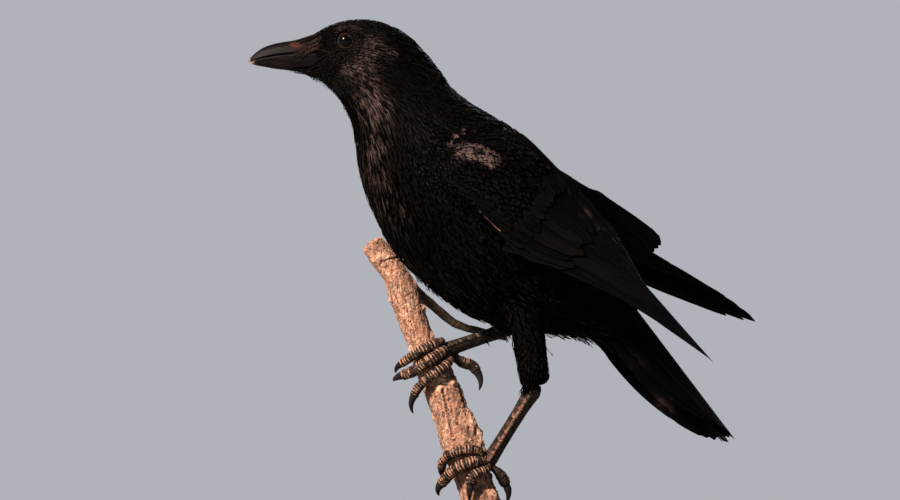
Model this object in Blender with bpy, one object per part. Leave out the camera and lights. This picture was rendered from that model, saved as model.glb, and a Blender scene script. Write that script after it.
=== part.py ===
"""Carrion crow: a still, life-size model that grips a cut branch on a plain display stand.

The crow faces -X, its left side is towards -Y and +Z is up. The origin is the middle of the
stand base's underside. Lengths are written in millimetres and become metres by MM.
"""
import math

import bmesh
import bpy
import numpy as np
from mathutils import Vector

MM = 0.001
GAP = 0.3  # clearance between pieces that touch

# Body: the back's point and the belly's point of each section as (x, z), and its half width.
BODY_STATIONS = (
    (-135, 433, -134, 401, 10.5),  # 0 bill base
    (-121, 440, -119, 386, 17),  # 1 before the eye
    (-99, 443, -108, 366, 21),  # 2 crown and throat
    (-74, 436, -105, 344, 24),  # 3 back of the head
    (-54, 417, -102, 325, 27),  # 4 neck
    (-39, 396, -96, 307, 33),  # 5 foot of the neck
    (-21, 381, -86, 286, 42),  # 6 crop and mantle
    (1, 368, -70, 263, 50),  # 7 breast
    (26, 350, -44, 240, 54),  # 8 widest
    (46, 330, -15, 223, 53),  # 9 flank
    (62, 307, 15, 214, 46),  # 10 belly
    (77, 281, 40, 212, 35),  # 11 vent
    (89, 257, 60, 210, 25),  # 12 tail coverts
    (96, 239, 74, 203, 19),  # 13 tail root
    (102, 221, 85, 197, 8),  # 14 under the tail's roof
    (103, 205, 97, 196, 3),  # 15 tip of the undertail coverts
)
BODY_SIDES = 24
BODY_RISE = 0.1  # how far above the middle of a section its widest line lies
PARTS_OF_BODY = (("head", 0, 3, 9), ("neck", 3, 5, 5), ("breast", 5, 8, 7),
                 ("belly", 8, 11, 7), ("rump", 11, 15, 8))
TRUNK_SPAN = (4.2, 14)  # the stations that the wings and the thighs lie against
TRUNK_RINGS = 29
CUT_SHARE = 0.009  # half of the thin cut between two body parts, as a share of a station

# Head
EYE_CENTRE = (-113.9, 11.5, 427.8)
EYE_RADIUS = 6.2
EYE_SIDES = 12
EYE_RINGS = 8
UPPER_BILL = (  # x, culmen z, cutting edge z, half width
    (-135.6, 432.6, 418.9, 9.0), (-146, 429.8, 418.6, 7.6), (-157, 426.9, 417.9, 6.3),
    (-168, 424.0, 416.5, 4.9), (-177, 419.9, 414.6, 3.4), (-182.4, 416.4, 412.6, 2.0),
    (-184.9, 413.3, 411.5, 0.9))
BILL_ARCH = 9  # points over the outer face of each half
LOWER_BILL = (  # x, cutting edge z, lower edge z, half width
    (-135.6, 418.4, 408.2, 8.2), (-148, 418.1, 407.4, 6.6), (-160, 417.1, 406.9, 5.2),
    (-170, 415.6, 407.8, 3.9), (-178, 413.8, 409.2, 2.5), (-182.6, 412.0, 410.4, 1.2))

CHIN_SIDES = 12
CHIN = (  # x, top z, bottom z, half width
    (-135.6, 407.5, 401.0, 7.5), (-144, 406.9, 403.6, 5.6), (-153, 406.5, 405.0, 3.4),
    (-160, 406.4, 405.7, 1.2))

# Wings: the upper and the lower point of each arm section, and its thickness; then the tips of
# the flight feathers from the innermost tertial to the outermost primary.
LEFT_ARM = (
    ((-41, -41, 341), (-44, -43, 335), 4),
    ((-33, -38, 348), (-40, -47, 326), 9),
    ((-20, -33, 359), (-31, -53, 314), 11),
    ((7, -21, 360), (-16, -60, 300), 11),
    ((33, -19, 343), (3, -64, 280), 9),
    ((54, -22, 321), (16, -67, 269), 5),
)
LEFT_TERTIAL_TIPS = ((87, -40, 278), (97, -50, 265), (106, -62, 250), (110, -68, 243))
LEFT_PRIMARY_TIPS = ((120, -76, 232), (133, -88, 218.5), (144, -100, 206),
                     (152.3, -109, 195.8), (144, -105, 205.5))
RIGHT_ARM = (
    ((-37, 41, 345), (-41, 43, 339), 4),
    ((-30, 38, 352), (-37, 48, 331), 9),
    ((-17, 32, 363), (-27, 54, 320), 11),
    ((9, 20, 361), (-10, 61, 306), 11),
    ((35, 16, 341), (10, 65, 291), 9),
    ((56.5, 15, 321.5), (24.5, 67, 281), 5),
)
RIGHT_TERTIAL_TIPS = ((117, 34, 284), (118, 40, 279), (112, 50, 272), (110, 60, 264))
RIGHT_PRIMARY_TIPS = ((132, 74, 255), (152, 88, 246), (172, 102, 235),
                      (187.4, 114, 222.4), (162, 106, 228))
LEFT_TOP_BOW = 0.0
RIGHT_TOP_BOW = 4.5  # how far the topmost tertial arches above a straight line
ARM_CAMBER = 11.0
ARM_END_CUT = 0.12  # how far, in arm sections, the arm stops before the flight feathers
ARM_COLUMNS = 8
ARM_RINGS = 9
ARM_EDGE = 0.6  # half the thickness of the arm's edges
ARM_DEPTH = 9.0  # how much deeper the arm's flesh side reaches than its feathered side
TIP_CAMBER = 2.0
FLIGHT_START = 0.01  # where the flight feathers begin, as a share of their length
FEATHERS_IN_GROUP = 6
GROUP_CUT = 0.004  # half of the cut between secondaries and primaries, as a share of the fan
FEATHER_ROWS = 5
FEATHER_THICK = (2.4, 1.1)  # at the root and at the tip
FEATHER_STEP = 0.6  # how far each feather lies under the one before it
FEATHER_ROUND = 0.10  # share of a feather's length that its rounded tip takes

# Tail: the ridge of its roof in the plane y = 0, its arch and its roll
TAIL_ROOT = (54.6, 288.0)
TAIL_TIP = (168.4, 140.2)
TAIL_START = 84.0  # where the free part begins, along the ridge from the root
TAIL_HALF_WIDTH = (19.0, 22.5)
TAIL_DROP = (31.0, 18.0)
TAIL_ROLL = (math.radians(12), math.radians(19))
TAIL_FEATHERS = 12
TAIL_CUT = 0.012  # half of the cut between the tail's two sides
OUTER_TAIL_SHORTER = 14.0  # the outermost feather against the middle pair

# Branch: its centre line, and its radius at each point
BRANCH_LINE = (
    (-93.5, 24, 277.5, 8.6), (-85.5, 22.5, 267, 9.9), (-75.5, 20, 253, 9.8), (-69, 17, 236, 10.9),
    (-61, 13, 213.5, 10.9), (-51, 9, 190, 12.0), (-38.5, 4, 160.6, 13.8), (-28.7, -1, 131.2, 14.2),
    (-20.6, -5, 108.4, 13.9), (-11, -10, 79, 14.4), (-2, -15, 52, 14.6), (3, -18, 37, 14.6))
BRANCH_SIDES = 12
BRANCH_RINGS = 27
BRANCH_CUT = 54.0
BARK_RELIEF = 0.85  # how far the bark's swellings rise
TWIG_SIDES = 8
TWIG_RINGS = 9
TWIG_LINE = ((-47, 33.5, 231, 3.4), (-33, 41, 219.5, 3.1), (-14, 47, 213.5, 2.7), (5, 51, 209, 2.6))

# Legs: ankle, and the foot's place on the branch as a height, an angle round it from +X
# towards -Y, and the toes as (distance down the branch, angle, height over the bark)
LEFT_THIGH = ((15, -24, 240, 14, 12), (18.5, -26, 221, 12.8, 11.5), (21, -28, 205, 11.6, 10),
              (23.5, -30, 190, 11.2, 9), (25, -31, 181, 10.2, 7.5), (24.2, -31, 177, 8.6, 6.4))
LEFT_ANKLE = (23.2, -31, 169.6)
LEFT_FOOT = (113.6, 27)
RIGHT_THIGH = ((-14, 24, 252, 14, 12), (-3, 27.5, 240, 12.5, 11), (7, 30.5, 230, 10, 9),
               (12, 32.5, 226, 8, 7), (13.5, 33.2, 225, 6.5, 5.8))
RIGHT_ANKLE = (16, 33.5, 219.0)
RIGHT_FOOT = (194, 10)
THIGH_SIDES = 16
SHANK_SIDES = 10
SHANK_RADIUS = 4.4
HEEL_RADIUS = 6.1
JOINT_RADIUS = 5.1  # at the foot
SOLE_HEIGHT = 4.9  # the foot's middle over the bark
SHANK_FLATNESS = 0.78
SHANK_PLACES = (0, 0.1, 0.25, 0.5, 0.75, 0.9, 1)
TOE_RADIUS = {"inner": 3.7, "middle": 4.5, "outer": 3.8, "hind": 4.2}
CLAW_LENGTH = {"inner": 12.0, "middle": 13.0, "outer": 15.0, "hind": 15.0}
LEFT_TOES = {
    "inner": ((-6.5, 48, 0.3), (-11, 84, 0.3), (-12, 116, 0.3), (-10, 146, 0.5), (-6, 166, 1)),
    "middle": ((0.3, 62, 0.5), (-0.8, 90, 0.5), (0, 122, 0.8), (3, 146, 2.5), (5.5, 160, 5)),
    "outer": ((7, 48, 0.3), (7.8, 72, 0.3), (10, 92, 0.5), (14, 99, 1)),
    "hind": ((9.5, 20, 0.5), (15, 9, 1.5), (20, 4, 2)),
}
RIGHT_TOES = {
    "inner": ((-6.5, 28, 0.3), (-6, 60, 0.3), (-5, 95, 0.3), (-4, 130, 1.5), (-3, 152, 5)),
    "middle": ((0.5, 38, 0.5), (3, 66, 0.8), (5, 100, 0.8), (6.5, 134, 1.5), (5.6, 154, 6)),
    "outer": ((7.5, 28, 0.3), (12.5, 60, 0.3), (15.5, 100, 0.5), (18.5, 134, 2.5), (23, 150, 5.5)),
    "hind": ((8.5, -6, 1.5), (13, -10, 5), (17, -12, 10), (22, -12, 11)),
}
TOE_SIDES = 8
TOE_PAD = 0.05  # how much a toe swells at its pads, as a share
CLAW_SIDES = 6
CLAW_STEPS = 6
CLAW_CURL = math.radians(62)
CLAW_SHARE = 0.78  # the claw's thickness at its root against the toe's end
CLAW_POINT = 0.3

# Display stand
BASE_SIZE = (230.0, 165.0, 16.0)
BASE_CORNER = 30.0
BASE_BEVEL = 3.0
ROD_RADIUS = 5.0
ROD_SIDES = 20
FLANGE_RADIUS = 13.0
FLANGE_HEIGHT = 3.0

COLOURS = {
    "feathers": ((0.012, 0.011, 0.012), 0.42),
    "horn": ((0.030, 0.026, 0.026), 0.32),
    "eye": ((0.012, 0.006, 0.004), 0.05),
    "leg": ((0.060, 0.047, 0.042), 0.45),
    "claw": ((0.020, 0.018, 0.018), 0.30),
    "bark": ((0.420, 0.250, 0.165), 0.85),
    "stand": ((0.055, 0.036, 0.026), 0.35),
    "steel": ((0.420, 0.420, 0.430), 0.30),
}


def clear_scene():
    for obj in list(bpy.data.objects):
        bpy.data.objects.remove(obj)


def finish_of(kind):
    """The one material of a kind of surface."""
    if kind in bpy.data.materials:
        return bpy.data.materials[kind]
    colour, roughness = COLOURS[kind]
    material = bpy.data.materials.new(kind)
    material.use_nodes = True
    shader = material.node_tree.nodes["Principled BSDF"]
    shader.inputs["Base Color"].default_value = (*colour, 1.0)
    shader.inputs["Roughness"].default_value = roughness
    shader.inputs["Metallic"].default_value = 1.0 if kind == "steel" else 0.0
    return material


def add_object(name, bm, kind):
    """Turn a bmesh, in metres, into a named object with its own material."""
    bmesh.ops.recalc_face_normals(bm, faces=bm.faces)
    mesh = bpy.data.meshes.new(name)
    bm.to_mesh(mesh)
    bm.free()
    mesh.shade_smooth()
    mesh.set_sharp_from_angle(angle=math.radians(50))
    obj = bpy.data.objects.new(name, mesh)
    material = finish_of(kind).copy()
    material.name = name
    mesh.materials.append(material)
    bpy.context.scene.collection.objects.link(obj)
    return obj


def curve_at(points, t):
    """The place t on a smooth curve through rows of numbers; row k is at t = k."""
    last = len(points) - 1
    i = max(0, min(int(t), last - 1))
    p0, p1, p2, p3 = (np.array(points[min(max(k, 0), last)], float) for k in range(i - 1, i + 3))
    f = t - i
    return 0.5 * (2 * p1 + (p2 - p0) * f + (2 * p0 - 5 * p1 + 4 * p2 - p3) * f ** 2
                  + (3 * p1 - p0 - 3 * p2 + p3) * f ** 3)


def unit(vector):
    return vector / np.linalg.norm(vector)


def round_turn(sides):
    """The angles of a regular polygon's corners."""
    return np.linspace(0, 2 * math.pi, sides, endpoint=False)


def skin_rings(rings):
    """A closed bmesh over rings of points, all with the same number of points."""
    bm = bmesh.new()
    loops = [[bm.verts.new(Vector(point) * MM) for point in ring] for ring in rings]
    count = len(loops[0])
    for low, high in zip(loops, loops[1:]):
        for k in range(count):
            after = (k + 1) % count
            bm.faces.new((low[k], low[after], high[after], high[k]))
    bm.faces.new(loops[0])
    bm.faces.new(loops[-1])
    return bm


def body_ring(t, swell=0.0):
    """One section of the body at station t, its outline grown by swell."""
    top_x, top_z, bottom_x, bottom_z, half_width = curve_at(BODY_STATIONS, t)
    top = np.array((top_x, 0.0, top_z))
    bottom = np.array((bottom_x, 0.0, bottom_z))
    middle = (top + bottom) / 2
    up = unit(top - bottom)
    half_height = np.linalg.norm(top - bottom) / 2 + swell
    ring = []
    for k in range(BODY_SIDES):
        turn = 2 * math.pi * k / BODY_SIDES
        height = half_height * (math.cos(turn) + BODY_RISE * math.sin(turn) ** 2)
        side = (half_width + swell) * math.sin(turn)
        ring.append(middle + up * height + np.array((0.0, side, 0.0)))
    return ring


def build_body():
    pieces = {}
    for name, first, last, count in PARTS_OF_BODY:
        start = first + (CUT_SHARE if first > 0 else 0.0)
        end = last - (CUT_SHARE if last < PARTS_OF_BODY[-1][2] else 0.0)
        rings = [body_ring(t) for t in np.linspace(start, end, count)]
        pieces[name] = add_object(name, skin_rings(rings), "feathers")
    return pieces


def trunk_cutter():
    """The trunk grown by the gap: it trims what lies against the trunk, and isn't a piece."""
    rings = [body_ring(t, GAP) for t in np.linspace(*TRUNK_SPAN, TRUNK_RINGS)]
    cutter = add_object("trunk_cutter", skin_rings(rings), "feathers")
    cutter.hide_render = True
    cutter.display_type = "WIRE"
    return cutter


def cut_by(obj, cutter):
    trim = obj.modifiers.new("trim", "BOOLEAN")
    trim.operation = "DIFFERENCE"
    trim.object = cutter


def eye_ball(name, side, radius):
    bm = bmesh.new()
    bmesh.ops.create_uvsphere(bm, u_segments=EYE_SIDES, v_segments=EYE_RINGS, radius=radius * MM)
    obj = add_object(name, bm, "eye")
    x, y, z = EYE_CENTRE
    obj.location = (x * MM, side * y * MM, z * MM)
    return obj


def build_eyes(head):
    for label, side in (("left", -1), ("right", 1)):
        eye_ball("eye_" + label, side, EYE_RADIUS)
        socket = eye_ball("socket_" + label, side, EYE_RADIUS + GAP)
        socket.hide_render = True
        socket.display_type = "WIRE"
        cut_by(head, socket)


def bill_ring(row, upward):
    """A section of one half of the bill: a flat cutting face and an arched outer face."""
    if upward:
        x, crest, edge, half_width = row
    else:
        x, edge, crest, half_width = row
    points = []
    for k in range(BILL_ARCH):
        turn = math.pi * k / (BILL_ARCH - 1)
        rise = math.sin(turn) ** 0.85
        points.append((x, half_width * math.cos(turn), edge + (crest - edge) * rise))
    points.append((x, 0.0, edge))
    return points


def build_bill():
    for name, rows, upward in (("bill_upper", UPPER_BILL, True), ("bill_lower", LOWER_BILL, False)):
        count = 2 * len(rows) - 1
        places = np.linspace(0, len(rows) - 1, count)
        rings = [bill_ring(curve_at(rows, t), upward) for t in places]
        add_object(name, skin_rings(rings), "horn")


def build_chin():
    """The short feathers that hang below the lower half of the bill's root."""
    rings = []
    for x, top, bottom, half_width in CHIN:
        middle, half = (top + bottom) / 2, (top - bottom) / 2
        rings.append([(x, half_width * math.sin(turn), middle + half * math.cos(turn))
                      for turn in round_turn(CHIN_SIDES)])
    add_object("chin", skin_rings(rings), "feathers")


def outward(along, across, side):
    """The wing's outward normal, away from the body's side and up."""
    normal = unit(np.cross(along, across))
    if normal[1] * side < 0:
        normal = -normal
    return normal


def arm_section(sections, t):
    """The arm's upper point, lower point and thickness at place t."""
    rows = [(*upper, *lower, thick) for upper, lower, thick in sections]
    row = curve_at(rows, t)
    return row[:3], row[3:6], row[6]


def arm_normal(sections, t, side):
    """The arm's outward direction at a section."""
    upper, lower, _ = arm_section(sections, t)
    low, high = max(0.0, t - 0.1), min(len(sections) - 1, t + 0.1)
    along = sum(arm_section(sections, high)[:2]) - sum(arm_section(sections, low)[:2])
    return outward(along, lower - upper, side)


def wing_arm_ring(sections, t, side):
    """A section of the arm: a cambered strip, thick in the middle and thin at its edges."""
    upper, lower, thick = arm_section(sections, t)
    normal = arm_normal(sections, t, side)
    share = min(1.0, t / 2 + 0.25)
    depth = ARM_DEPTH * min(1.0, len(sections) - 1 - t)
    outer, inner = [], []
    for v in np.linspace(0, 1, ARM_COLUMNS):
        chord = upper + (lower - upper) * v
        camber = ARM_CAMBER * share * math.sin(math.pi * v)
        half = thick / 2 * math.sqrt(max(0.0, 1 - (2 * v - 1) ** 4)) + ARM_EDGE
        outer.append(chord + normal * (camber + half))
        inner.append(chord + normal * (camber - half - depth * math.sin(math.pi * v) ** 0.5))
    return outer + inner[::-1]


def flight_point(wing, f, a, depth):
    """A point of the fan of flight feathers: f runs from the tertials to the leading edge, a
    from the feathers' visible roots to their tips, and depth goes in from the outer face."""
    upper, lower, _ = wing["arm"][-1]
    upper, lower = np.array(upper, float), np.array(lower, float)
    root = upper + (lower - upper) * f
    tips = wing["tips"]
    tip = curve_at(tips, f * (len(tips) - 1))
    free_normal = outward(tip - root, lower - upper, wing["side"])
    normal = unit(wing["root_normal"] * (1 - a) + free_normal * a)
    camber = math.sin(math.pi * f) * (ARM_CAMBER * (1 - a) + TIP_CAMBER * a)
    rise = np.array((0.0, 0.0, wing["bow"] * 4 * a * (1 - a) * max(0.0, 1 - 3 * f)))
    return root + (tip - root) * a + normal * (camber - depth) + rise


def feather_plate(surface, edges, rows, start):
    """A closed plate of lapped feathers. Feather i lies between edges[i] and edges[i + 1];
    surface(place across, place along, depth) gives a point."""
    columns = []
    for left, right in zip(edges, edges[1:]):
        for across, sink, reach in ((left, 1.0, 1 - FEATHER_ROUND), ((left + right) / 2, 0.3, 1.0),
                                    (right, 0.0, 1 - FEATHER_ROUND)):
            columns.append((across, sink * FEATHER_STEP, reach))
    bm = bmesh.new()
    faces_of = []
    for below in (False, True):
        grid = []
        for across, sink, reach in columns:
            line = []
            for j in range(rows):
                a = start + (reach - start) * j / (rows - 1)
                thick = FEATHER_THICK[0] + (FEATHER_THICK[1] - FEATHER_THICK[0]) * a
                line.append(bm.verts.new(Vector(surface(across, a, sink + thick * below)) * MM))
            grid.append(line)
        faces_of.append(grid)
    top, bottom = faces_of
    last_column, last_row = len(columns) - 1, rows - 1
    for i in range(last_column):
        for j in range(last_row):
            for grid in faces_of:
                bm.faces.new((grid[i][j], grid[i + 1][j], grid[i + 1][j + 1], grid[i][j + 1]))
        for j in (0, last_row):
            bm.faces.new((top[i][j], top[i + 1][j], bottom[i + 1][j], bottom[i][j]))
    for i in (0, last_column):
        for j in range(last_row):
            bm.faces.new((top[i][j], top[i][j + 1], bottom[i][j + 1], bottom[i][j]))
    return bm


def build_wing(label, side, arm, tertial_tips, primary_tips, bow, cutter):
    wing = {"arm": arm, "side": side, "bow": bow, "tips": tertial_tips + primary_tips,
            "root_normal": arm_normal(arm, len(arm) - 1, side)}
    places = np.linspace(0, len(arm) - 1 - ARM_END_CUT, ARM_RINGS)
    rings = [wing_arm_ring(arm, t, side) for t in places]
    cut_by(add_object("wing_" + label + "_coverts", skin_rings(rings), "feathers"), cutter)
    split = (len(tertial_tips) - 0.5) / (len(wing["tips"]) - 1)
    groups = (("secondaries", 0.0, split - GROUP_CUT), ("primaries", split + GROUP_CUT, 1.0))
    for group, first, last in groups:
        edges = np.linspace(first, last, FEATHERS_IN_GROUP + 1)
        surface = lambda f, a, depth: flight_point(wing, f, a, depth)
        bm = feather_plate(surface, edges, FEATHER_ROWS, FLIGHT_START)
        add_object("wing_" + label + "_" + group, bm, "feathers")


def tail_point(q, a, depth):
    """A point of the tail's roof: q runs from the left edge (-1) to the right edge (1)."""
    root = np.array((TAIL_ROOT[0], 0.0, TAIL_ROOT[1]))
    tip = np.array((TAIL_TIP[0], 0.0, TAIL_TIP[1]))
    length = np.linalg.norm(tip - root)
    along = unit(tip - root)
    up = np.array((-along[2], 0.0, along[0]))
    turn = q * math.pi / 2
    reach = (length - OUTER_TAIL_SHORTER * q * q - TAIL_START) * a
    half_width = TAIL_HALF_WIDTH[0] + (TAIL_HALF_WIDTH[1] - TAIL_HALF_WIDTH[0]) * a
    drop = TAIL_DROP[0] + (TAIL_DROP[1] - TAIL_DROP[0]) * a
    side = (half_width - depth) * math.sin(turn)
    height = (drop - depth) * math.cos(turn) - drop
    roll = TAIL_ROLL[0] + (TAIL_ROLL[1] - TAIL_ROLL[0]) * a
    rolled_side = side * math.cos(roll) - height * math.sin(roll)
    rolled_height = height * math.cos(roll) - side * math.sin(roll)
    return root + along * (TAIL_START + reach) + up * rolled_height + np.array((0, rolled_side, 0))


def build_tail():
    """Two halves, each feather lapped under its inner neighbour."""
    half = TAIL_FEATHERS // 2
    for label, side in (("left", -1), ("right", 1)):
        edges = side * np.linspace(TAIL_CUT, 1.0, half + 1)
        add_object("tail_" + label, feather_plate(tail_point, edges, FEATHER_ROWS, 0.0), "feathers")


def tube_rings(line, sides, flatten=1.0, start_normal=(0, 1, 0)):
    """Rings round a line of (x, y, z, radius) rows."""
    points = [np.array(row[:3], float) for row in line]
    normal = np.array(start_normal, float)
    rings = []
    for i, row in enumerate(line):
        ahead, behind = points[min(i + 1, len(line) - 1)], points[max(i - 1, 0)]
        along = unit(ahead - behind)
        normal = unit(normal - along * np.dot(normal, along))
        other = np.cross(along, normal)
        radius = row[3]
        ring = []
        for k in range(sides):
            turn = 2 * math.pi * k / sides
            ring.append(points[i] + normal * radius * flatten * math.cos(turn)
                        + other * radius * math.sin(turn))
        rings.append(ring)
    return rings


def smooth_line(rows, count):
    return [curve_at(rows, t) for t in np.linspace(0, len(rows) - 1, count)]


def branch_knots(line):
    """Low swellings where old side shoots left the branch."""
    bumpy = []
    for x, y, z, radius in line:
        swell = BARK_RELIEF * (0.6 * math.sin(z / 9.0) + 0.4 * math.sin(z / 4.3 + 1.0))
        bumpy.append((x, y, z, radius + swell))
    return bumpy


def build_perch():
    line = branch_knots(smooth_line(BRANCH_LINE, BRANCH_RINGS))
    x, y, z, radius = line[0]
    crown = [(x - 1.6, y, z + 2.2, radius * 0.8), (x - 2.4, y, z + 3.6, radius * 0.4)]
    bm = skin_rings(tube_rings(crown[::-1] + line, BRANCH_SIDES))
    whole = bm.verts[:] + bm.edges[:] + bm.faces[:]
    cut = bmesh.ops.bisect_plane(bm, geom=whole, plane_co=(0, 0, BRANCH_CUT * MM),
                                 plane_no=(0, 0, -1), clear_outer=True)
    rim = [item for item in cut["geom_cut"] if isinstance(item, bmesh.types.BMEdge)]
    bmesh.ops.contextual_create(bm, geom=rim)
    add_object("perch_branch", bm, "bark")
    twig = tube_rings(smooth_line(TWIG_LINE, TWIG_RINGS), TWIG_SIDES)
    add_object("perch_twig", skin_rings(twig), "bark")


def branch_place(height):
    """The branch's axis at a height: its point, its direction down, and its radius."""
    line = smooth_line(BRANCH_LINE, 200)
    for before, after in zip(line, line[1:]):
        if after[2] <= height:
            share = (before[2] - height) / (before[2] - after[2])
            row = before + (after - before) * share
            return row[:3], unit(after[:3] - before[:3]), row[3]
    return line[-1][:3], unit(line[-1][:3] - line[-2][:3]), line[-1][3]


def on_branch(height, down, angle, over):
    """A point over the bark: down along the branch from a height, round it by an angle."""
    _, direction, _ = branch_place(height)
    point, direction, radius = branch_place(height + down * direction[2])
    right = unit(np.array((-direction[2], 0.0, direction[0])))
    near = np.cross(right, direction)
    if near[1] > 0:
        near = -near
    turn = math.radians(angle)
    return point + (right * math.cos(turn) + near * math.sin(turn)) * (radius + over)


def build_toe(name, foot, toe, kind):
    """A toe along the bark with a pad at each joint, and its curved claw."""
    radius = TOE_RADIUS[kind]
    rows = []
    for k, (down, angle, lift) in enumerate(toe):
        thin = radius * (0.74 if k == 0 else 1.0 - 0.04 * k)
        over = radius + BARK_RELIEF + GAP + lift
        rows.append((*on_branch(foot[0], down, angle, over), thin))
    line = []
    for i, row in enumerate(smooth_line(rows, 2 * len(rows) + 1)):
        pad = 1.0 + TOE_PAD * (-1) ** i
        line.append((*row[:3], row[3] * pad))
    add_object(name, skin_rings(tube_rings(line, TOE_SIDES)), "leg")
    build_claw(name + "_claw", line, CLAW_LENGTH[kind])


def build_claw(name, toe_line, length):
    """A claw that goes on from the toe and curls towards the bark, without entering it."""
    end, before = np.array(toe_line[-1][:3]), np.array(toe_line[-2][:3])
    direction = unit(end - before)
    inward = branch_place(end[2])[0] - end
    inward = unit(inward - direction * np.dot(inward, direction))
    place = end + direction * (GAP + 0.1)
    line = []
    for share in np.linspace(0, 1, CLAW_STEPS):
        thick = toe_line[-1][3] * CLAW_SHARE * (1 - share) ** 0.8 + CLAW_POINT
        line.append((*off_the_bark(place, thick), thick))
        bend = CLAW_CURL * share
        step = direction * math.cos(bend) + inward * math.sin(bend)
        place = place + step * length / (CLAW_STEPS - 1)
    add_object(name, skin_rings(tube_rings(line, CLAW_SIDES)), "claw")


def off_the_bark(place, thick):
    """Push a point out from the branch until a tube of this thickness clears the bark."""
    axis_point, direction, radius = branch_place(place[2])
    away = place - axis_point
    away = away - direction * np.dot(away, direction)
    clear = radius + BARK_RELIEF + thick + GAP
    distance = np.linalg.norm(away)
    return place if distance >= clear else place + away * (clear / distance - 1)


def round_end(line):
    """Close a tube's last end with a low dome."""
    point, radius = np.array(line[-1][:3]), line[-1][3]
    along = unit(point - np.array(line[-2][:3]))
    dome = [(*(point + along * radius * math.sin(turn)), radius * math.cos(turn))
            for turn in (math.radians(35), math.radians(68))]
    return line + dome


def build_leg(label, thigh, ankle, foot, toes, cutter):
    rings = []
    line = smooth_line(thigh, 9)
    for x, y, z, half_x, half_y in line:
        rings.append([(x + half_x * math.cos(turn), y + half_y * math.sin(turn), z)
                      for turn in round_turn(THIGH_SIDES)])
    leg = add_object("thigh_" + label, skin_rings(rings), "feathers")
    cut_by(leg, cutter)
    sole = on_branch(foot[0], 0, foot[1], SOLE_HEIGHT)
    ankle = np.array(ankle, float)
    shank = []
    for share in SHANK_PLACES:
        point = ankle + (sole - ankle) * share
        end_radius = HEEL_RADIUS if share < 0.5 else JOINT_RADIUS
        thick = SHANK_RADIUS + (end_radius - SHANK_RADIUS) * abs(2 * share - 1) ** 3
        shank.append((*point, thick))
    shank = round_end(shank)[::-1]
    shank = round_end(shank)[::-1]
    add_object("tarsus_" + label, skin_rings(tube_rings(shank, SHANK_SIDES, SHANK_FLATNESS)), "leg")
    for kind, toe in toes.items():
        build_toe("toe_" + label + "_" + kind, foot, toe, kind)


def build_stand():
    length, width, height = BASE_SIZE
    bm = bmesh.new()
    bmesh.ops.create_cube(bm, size=1.0)
    bmesh.ops.scale(bm, vec=Vector(BASE_SIZE) * MM, verts=bm.verts)
    bmesh.ops.translate(bm, vec=(0, 0, height / 2 * MM), verts=bm.verts)
    upright = [e for e in bm.edges if abs(e.verts[0].co.z - e.verts[1].co.z) > height / 2 * MM]
    bmesh.ops.bevel(bm, geom=upright, offset=BASE_CORNER * MM, segments=6, profile=0.5,
                    affect="EDGES")
    upper = [e for e in bm.edges if min(v.co.z for v in e.verts) > (height - 0.01) * MM]
    bmesh.ops.bevel(bm, geom=upper, offset=BASE_BEVEL * MM, segments=3, profile=0.5,
                    affect="EDGES")
    add_object("stand_base", bm, "stand")
    foot_x, foot_y = branch_place(BRANCH_CUT)[0][:2]
    low, high = height + GAP, BRANCH_CUT - GAP
    profile = ((low, FLANGE_RADIUS), (low + FLANGE_HEIGHT, FLANGE_RADIUS),
               (low + FLANGE_HEIGHT + 0.01, ROD_RADIUS), (high - FLANGE_HEIGHT - 0.01, ROD_RADIUS),
               (high - FLANGE_HEIGHT, FLANGE_RADIUS), (high, FLANGE_RADIUS))
    rings = [[(foot_x + r * math.cos(turn), foot_y + r * math.sin(turn), z)
              for turn in round_turn(ROD_SIDES)] for z, r in profile]
    add_object("stand_rod", skin_rings(rings), "steel")


def main():
    clear_scene()
    body = build_body()
    cutter = trunk_cutter()
    build_eyes(body["head"])
    build_bill()
    build_chin()
    build_wing("left", -1, LEFT_ARM, LEFT_TERTIAL_TIPS, LEFT_PRIMARY_TIPS, LEFT_TOP_BOW, cutter)
    build_wing("right", 1, RIGHT_ARM, RIGHT_TERTIAL_TIPS, RIGHT_PRIMARY_TIPS, RIGHT_TOP_BOW,
               cutter)
    build_tail()
    build_perch()
    build_leg("left", LEFT_THIGH, LEFT_ANKLE, LEFT_FOOT, LEFT_TOES, cutter)
    build_leg("right", RIGHT_THIGH, RIGHT_ANKLE, RIGHT_FOOT, RIGHT_TOES, cutter)
    build_stand()


main()
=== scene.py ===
"""The looks of the carrion crow: skin, plumage, bill, eyes, feet, branch, stand and studio."""
import math

import bmesh
import bpy
import numpy as np
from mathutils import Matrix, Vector
from mathutils.bvhtree import BVHTree


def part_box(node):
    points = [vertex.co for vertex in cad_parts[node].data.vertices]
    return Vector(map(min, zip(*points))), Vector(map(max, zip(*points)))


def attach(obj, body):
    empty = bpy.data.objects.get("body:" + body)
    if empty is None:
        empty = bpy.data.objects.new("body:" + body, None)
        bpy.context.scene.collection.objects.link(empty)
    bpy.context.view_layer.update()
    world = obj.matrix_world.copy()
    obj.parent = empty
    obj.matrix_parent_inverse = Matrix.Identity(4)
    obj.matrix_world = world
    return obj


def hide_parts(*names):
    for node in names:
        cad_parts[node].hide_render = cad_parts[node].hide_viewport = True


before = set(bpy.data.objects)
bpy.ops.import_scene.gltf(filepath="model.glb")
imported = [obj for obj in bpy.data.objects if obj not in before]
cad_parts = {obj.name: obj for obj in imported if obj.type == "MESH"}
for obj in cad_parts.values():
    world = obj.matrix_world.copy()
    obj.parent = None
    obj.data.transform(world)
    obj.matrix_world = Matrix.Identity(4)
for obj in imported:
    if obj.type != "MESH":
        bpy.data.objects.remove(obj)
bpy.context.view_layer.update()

MM = 0.001  # every length below is in millimetres
CHANCE = np.random.default_rng(52)

# ---------------------------------------------------------------------------------------------
# The crow's own measures
# ---------------------------------------------------------------------------------------------

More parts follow.
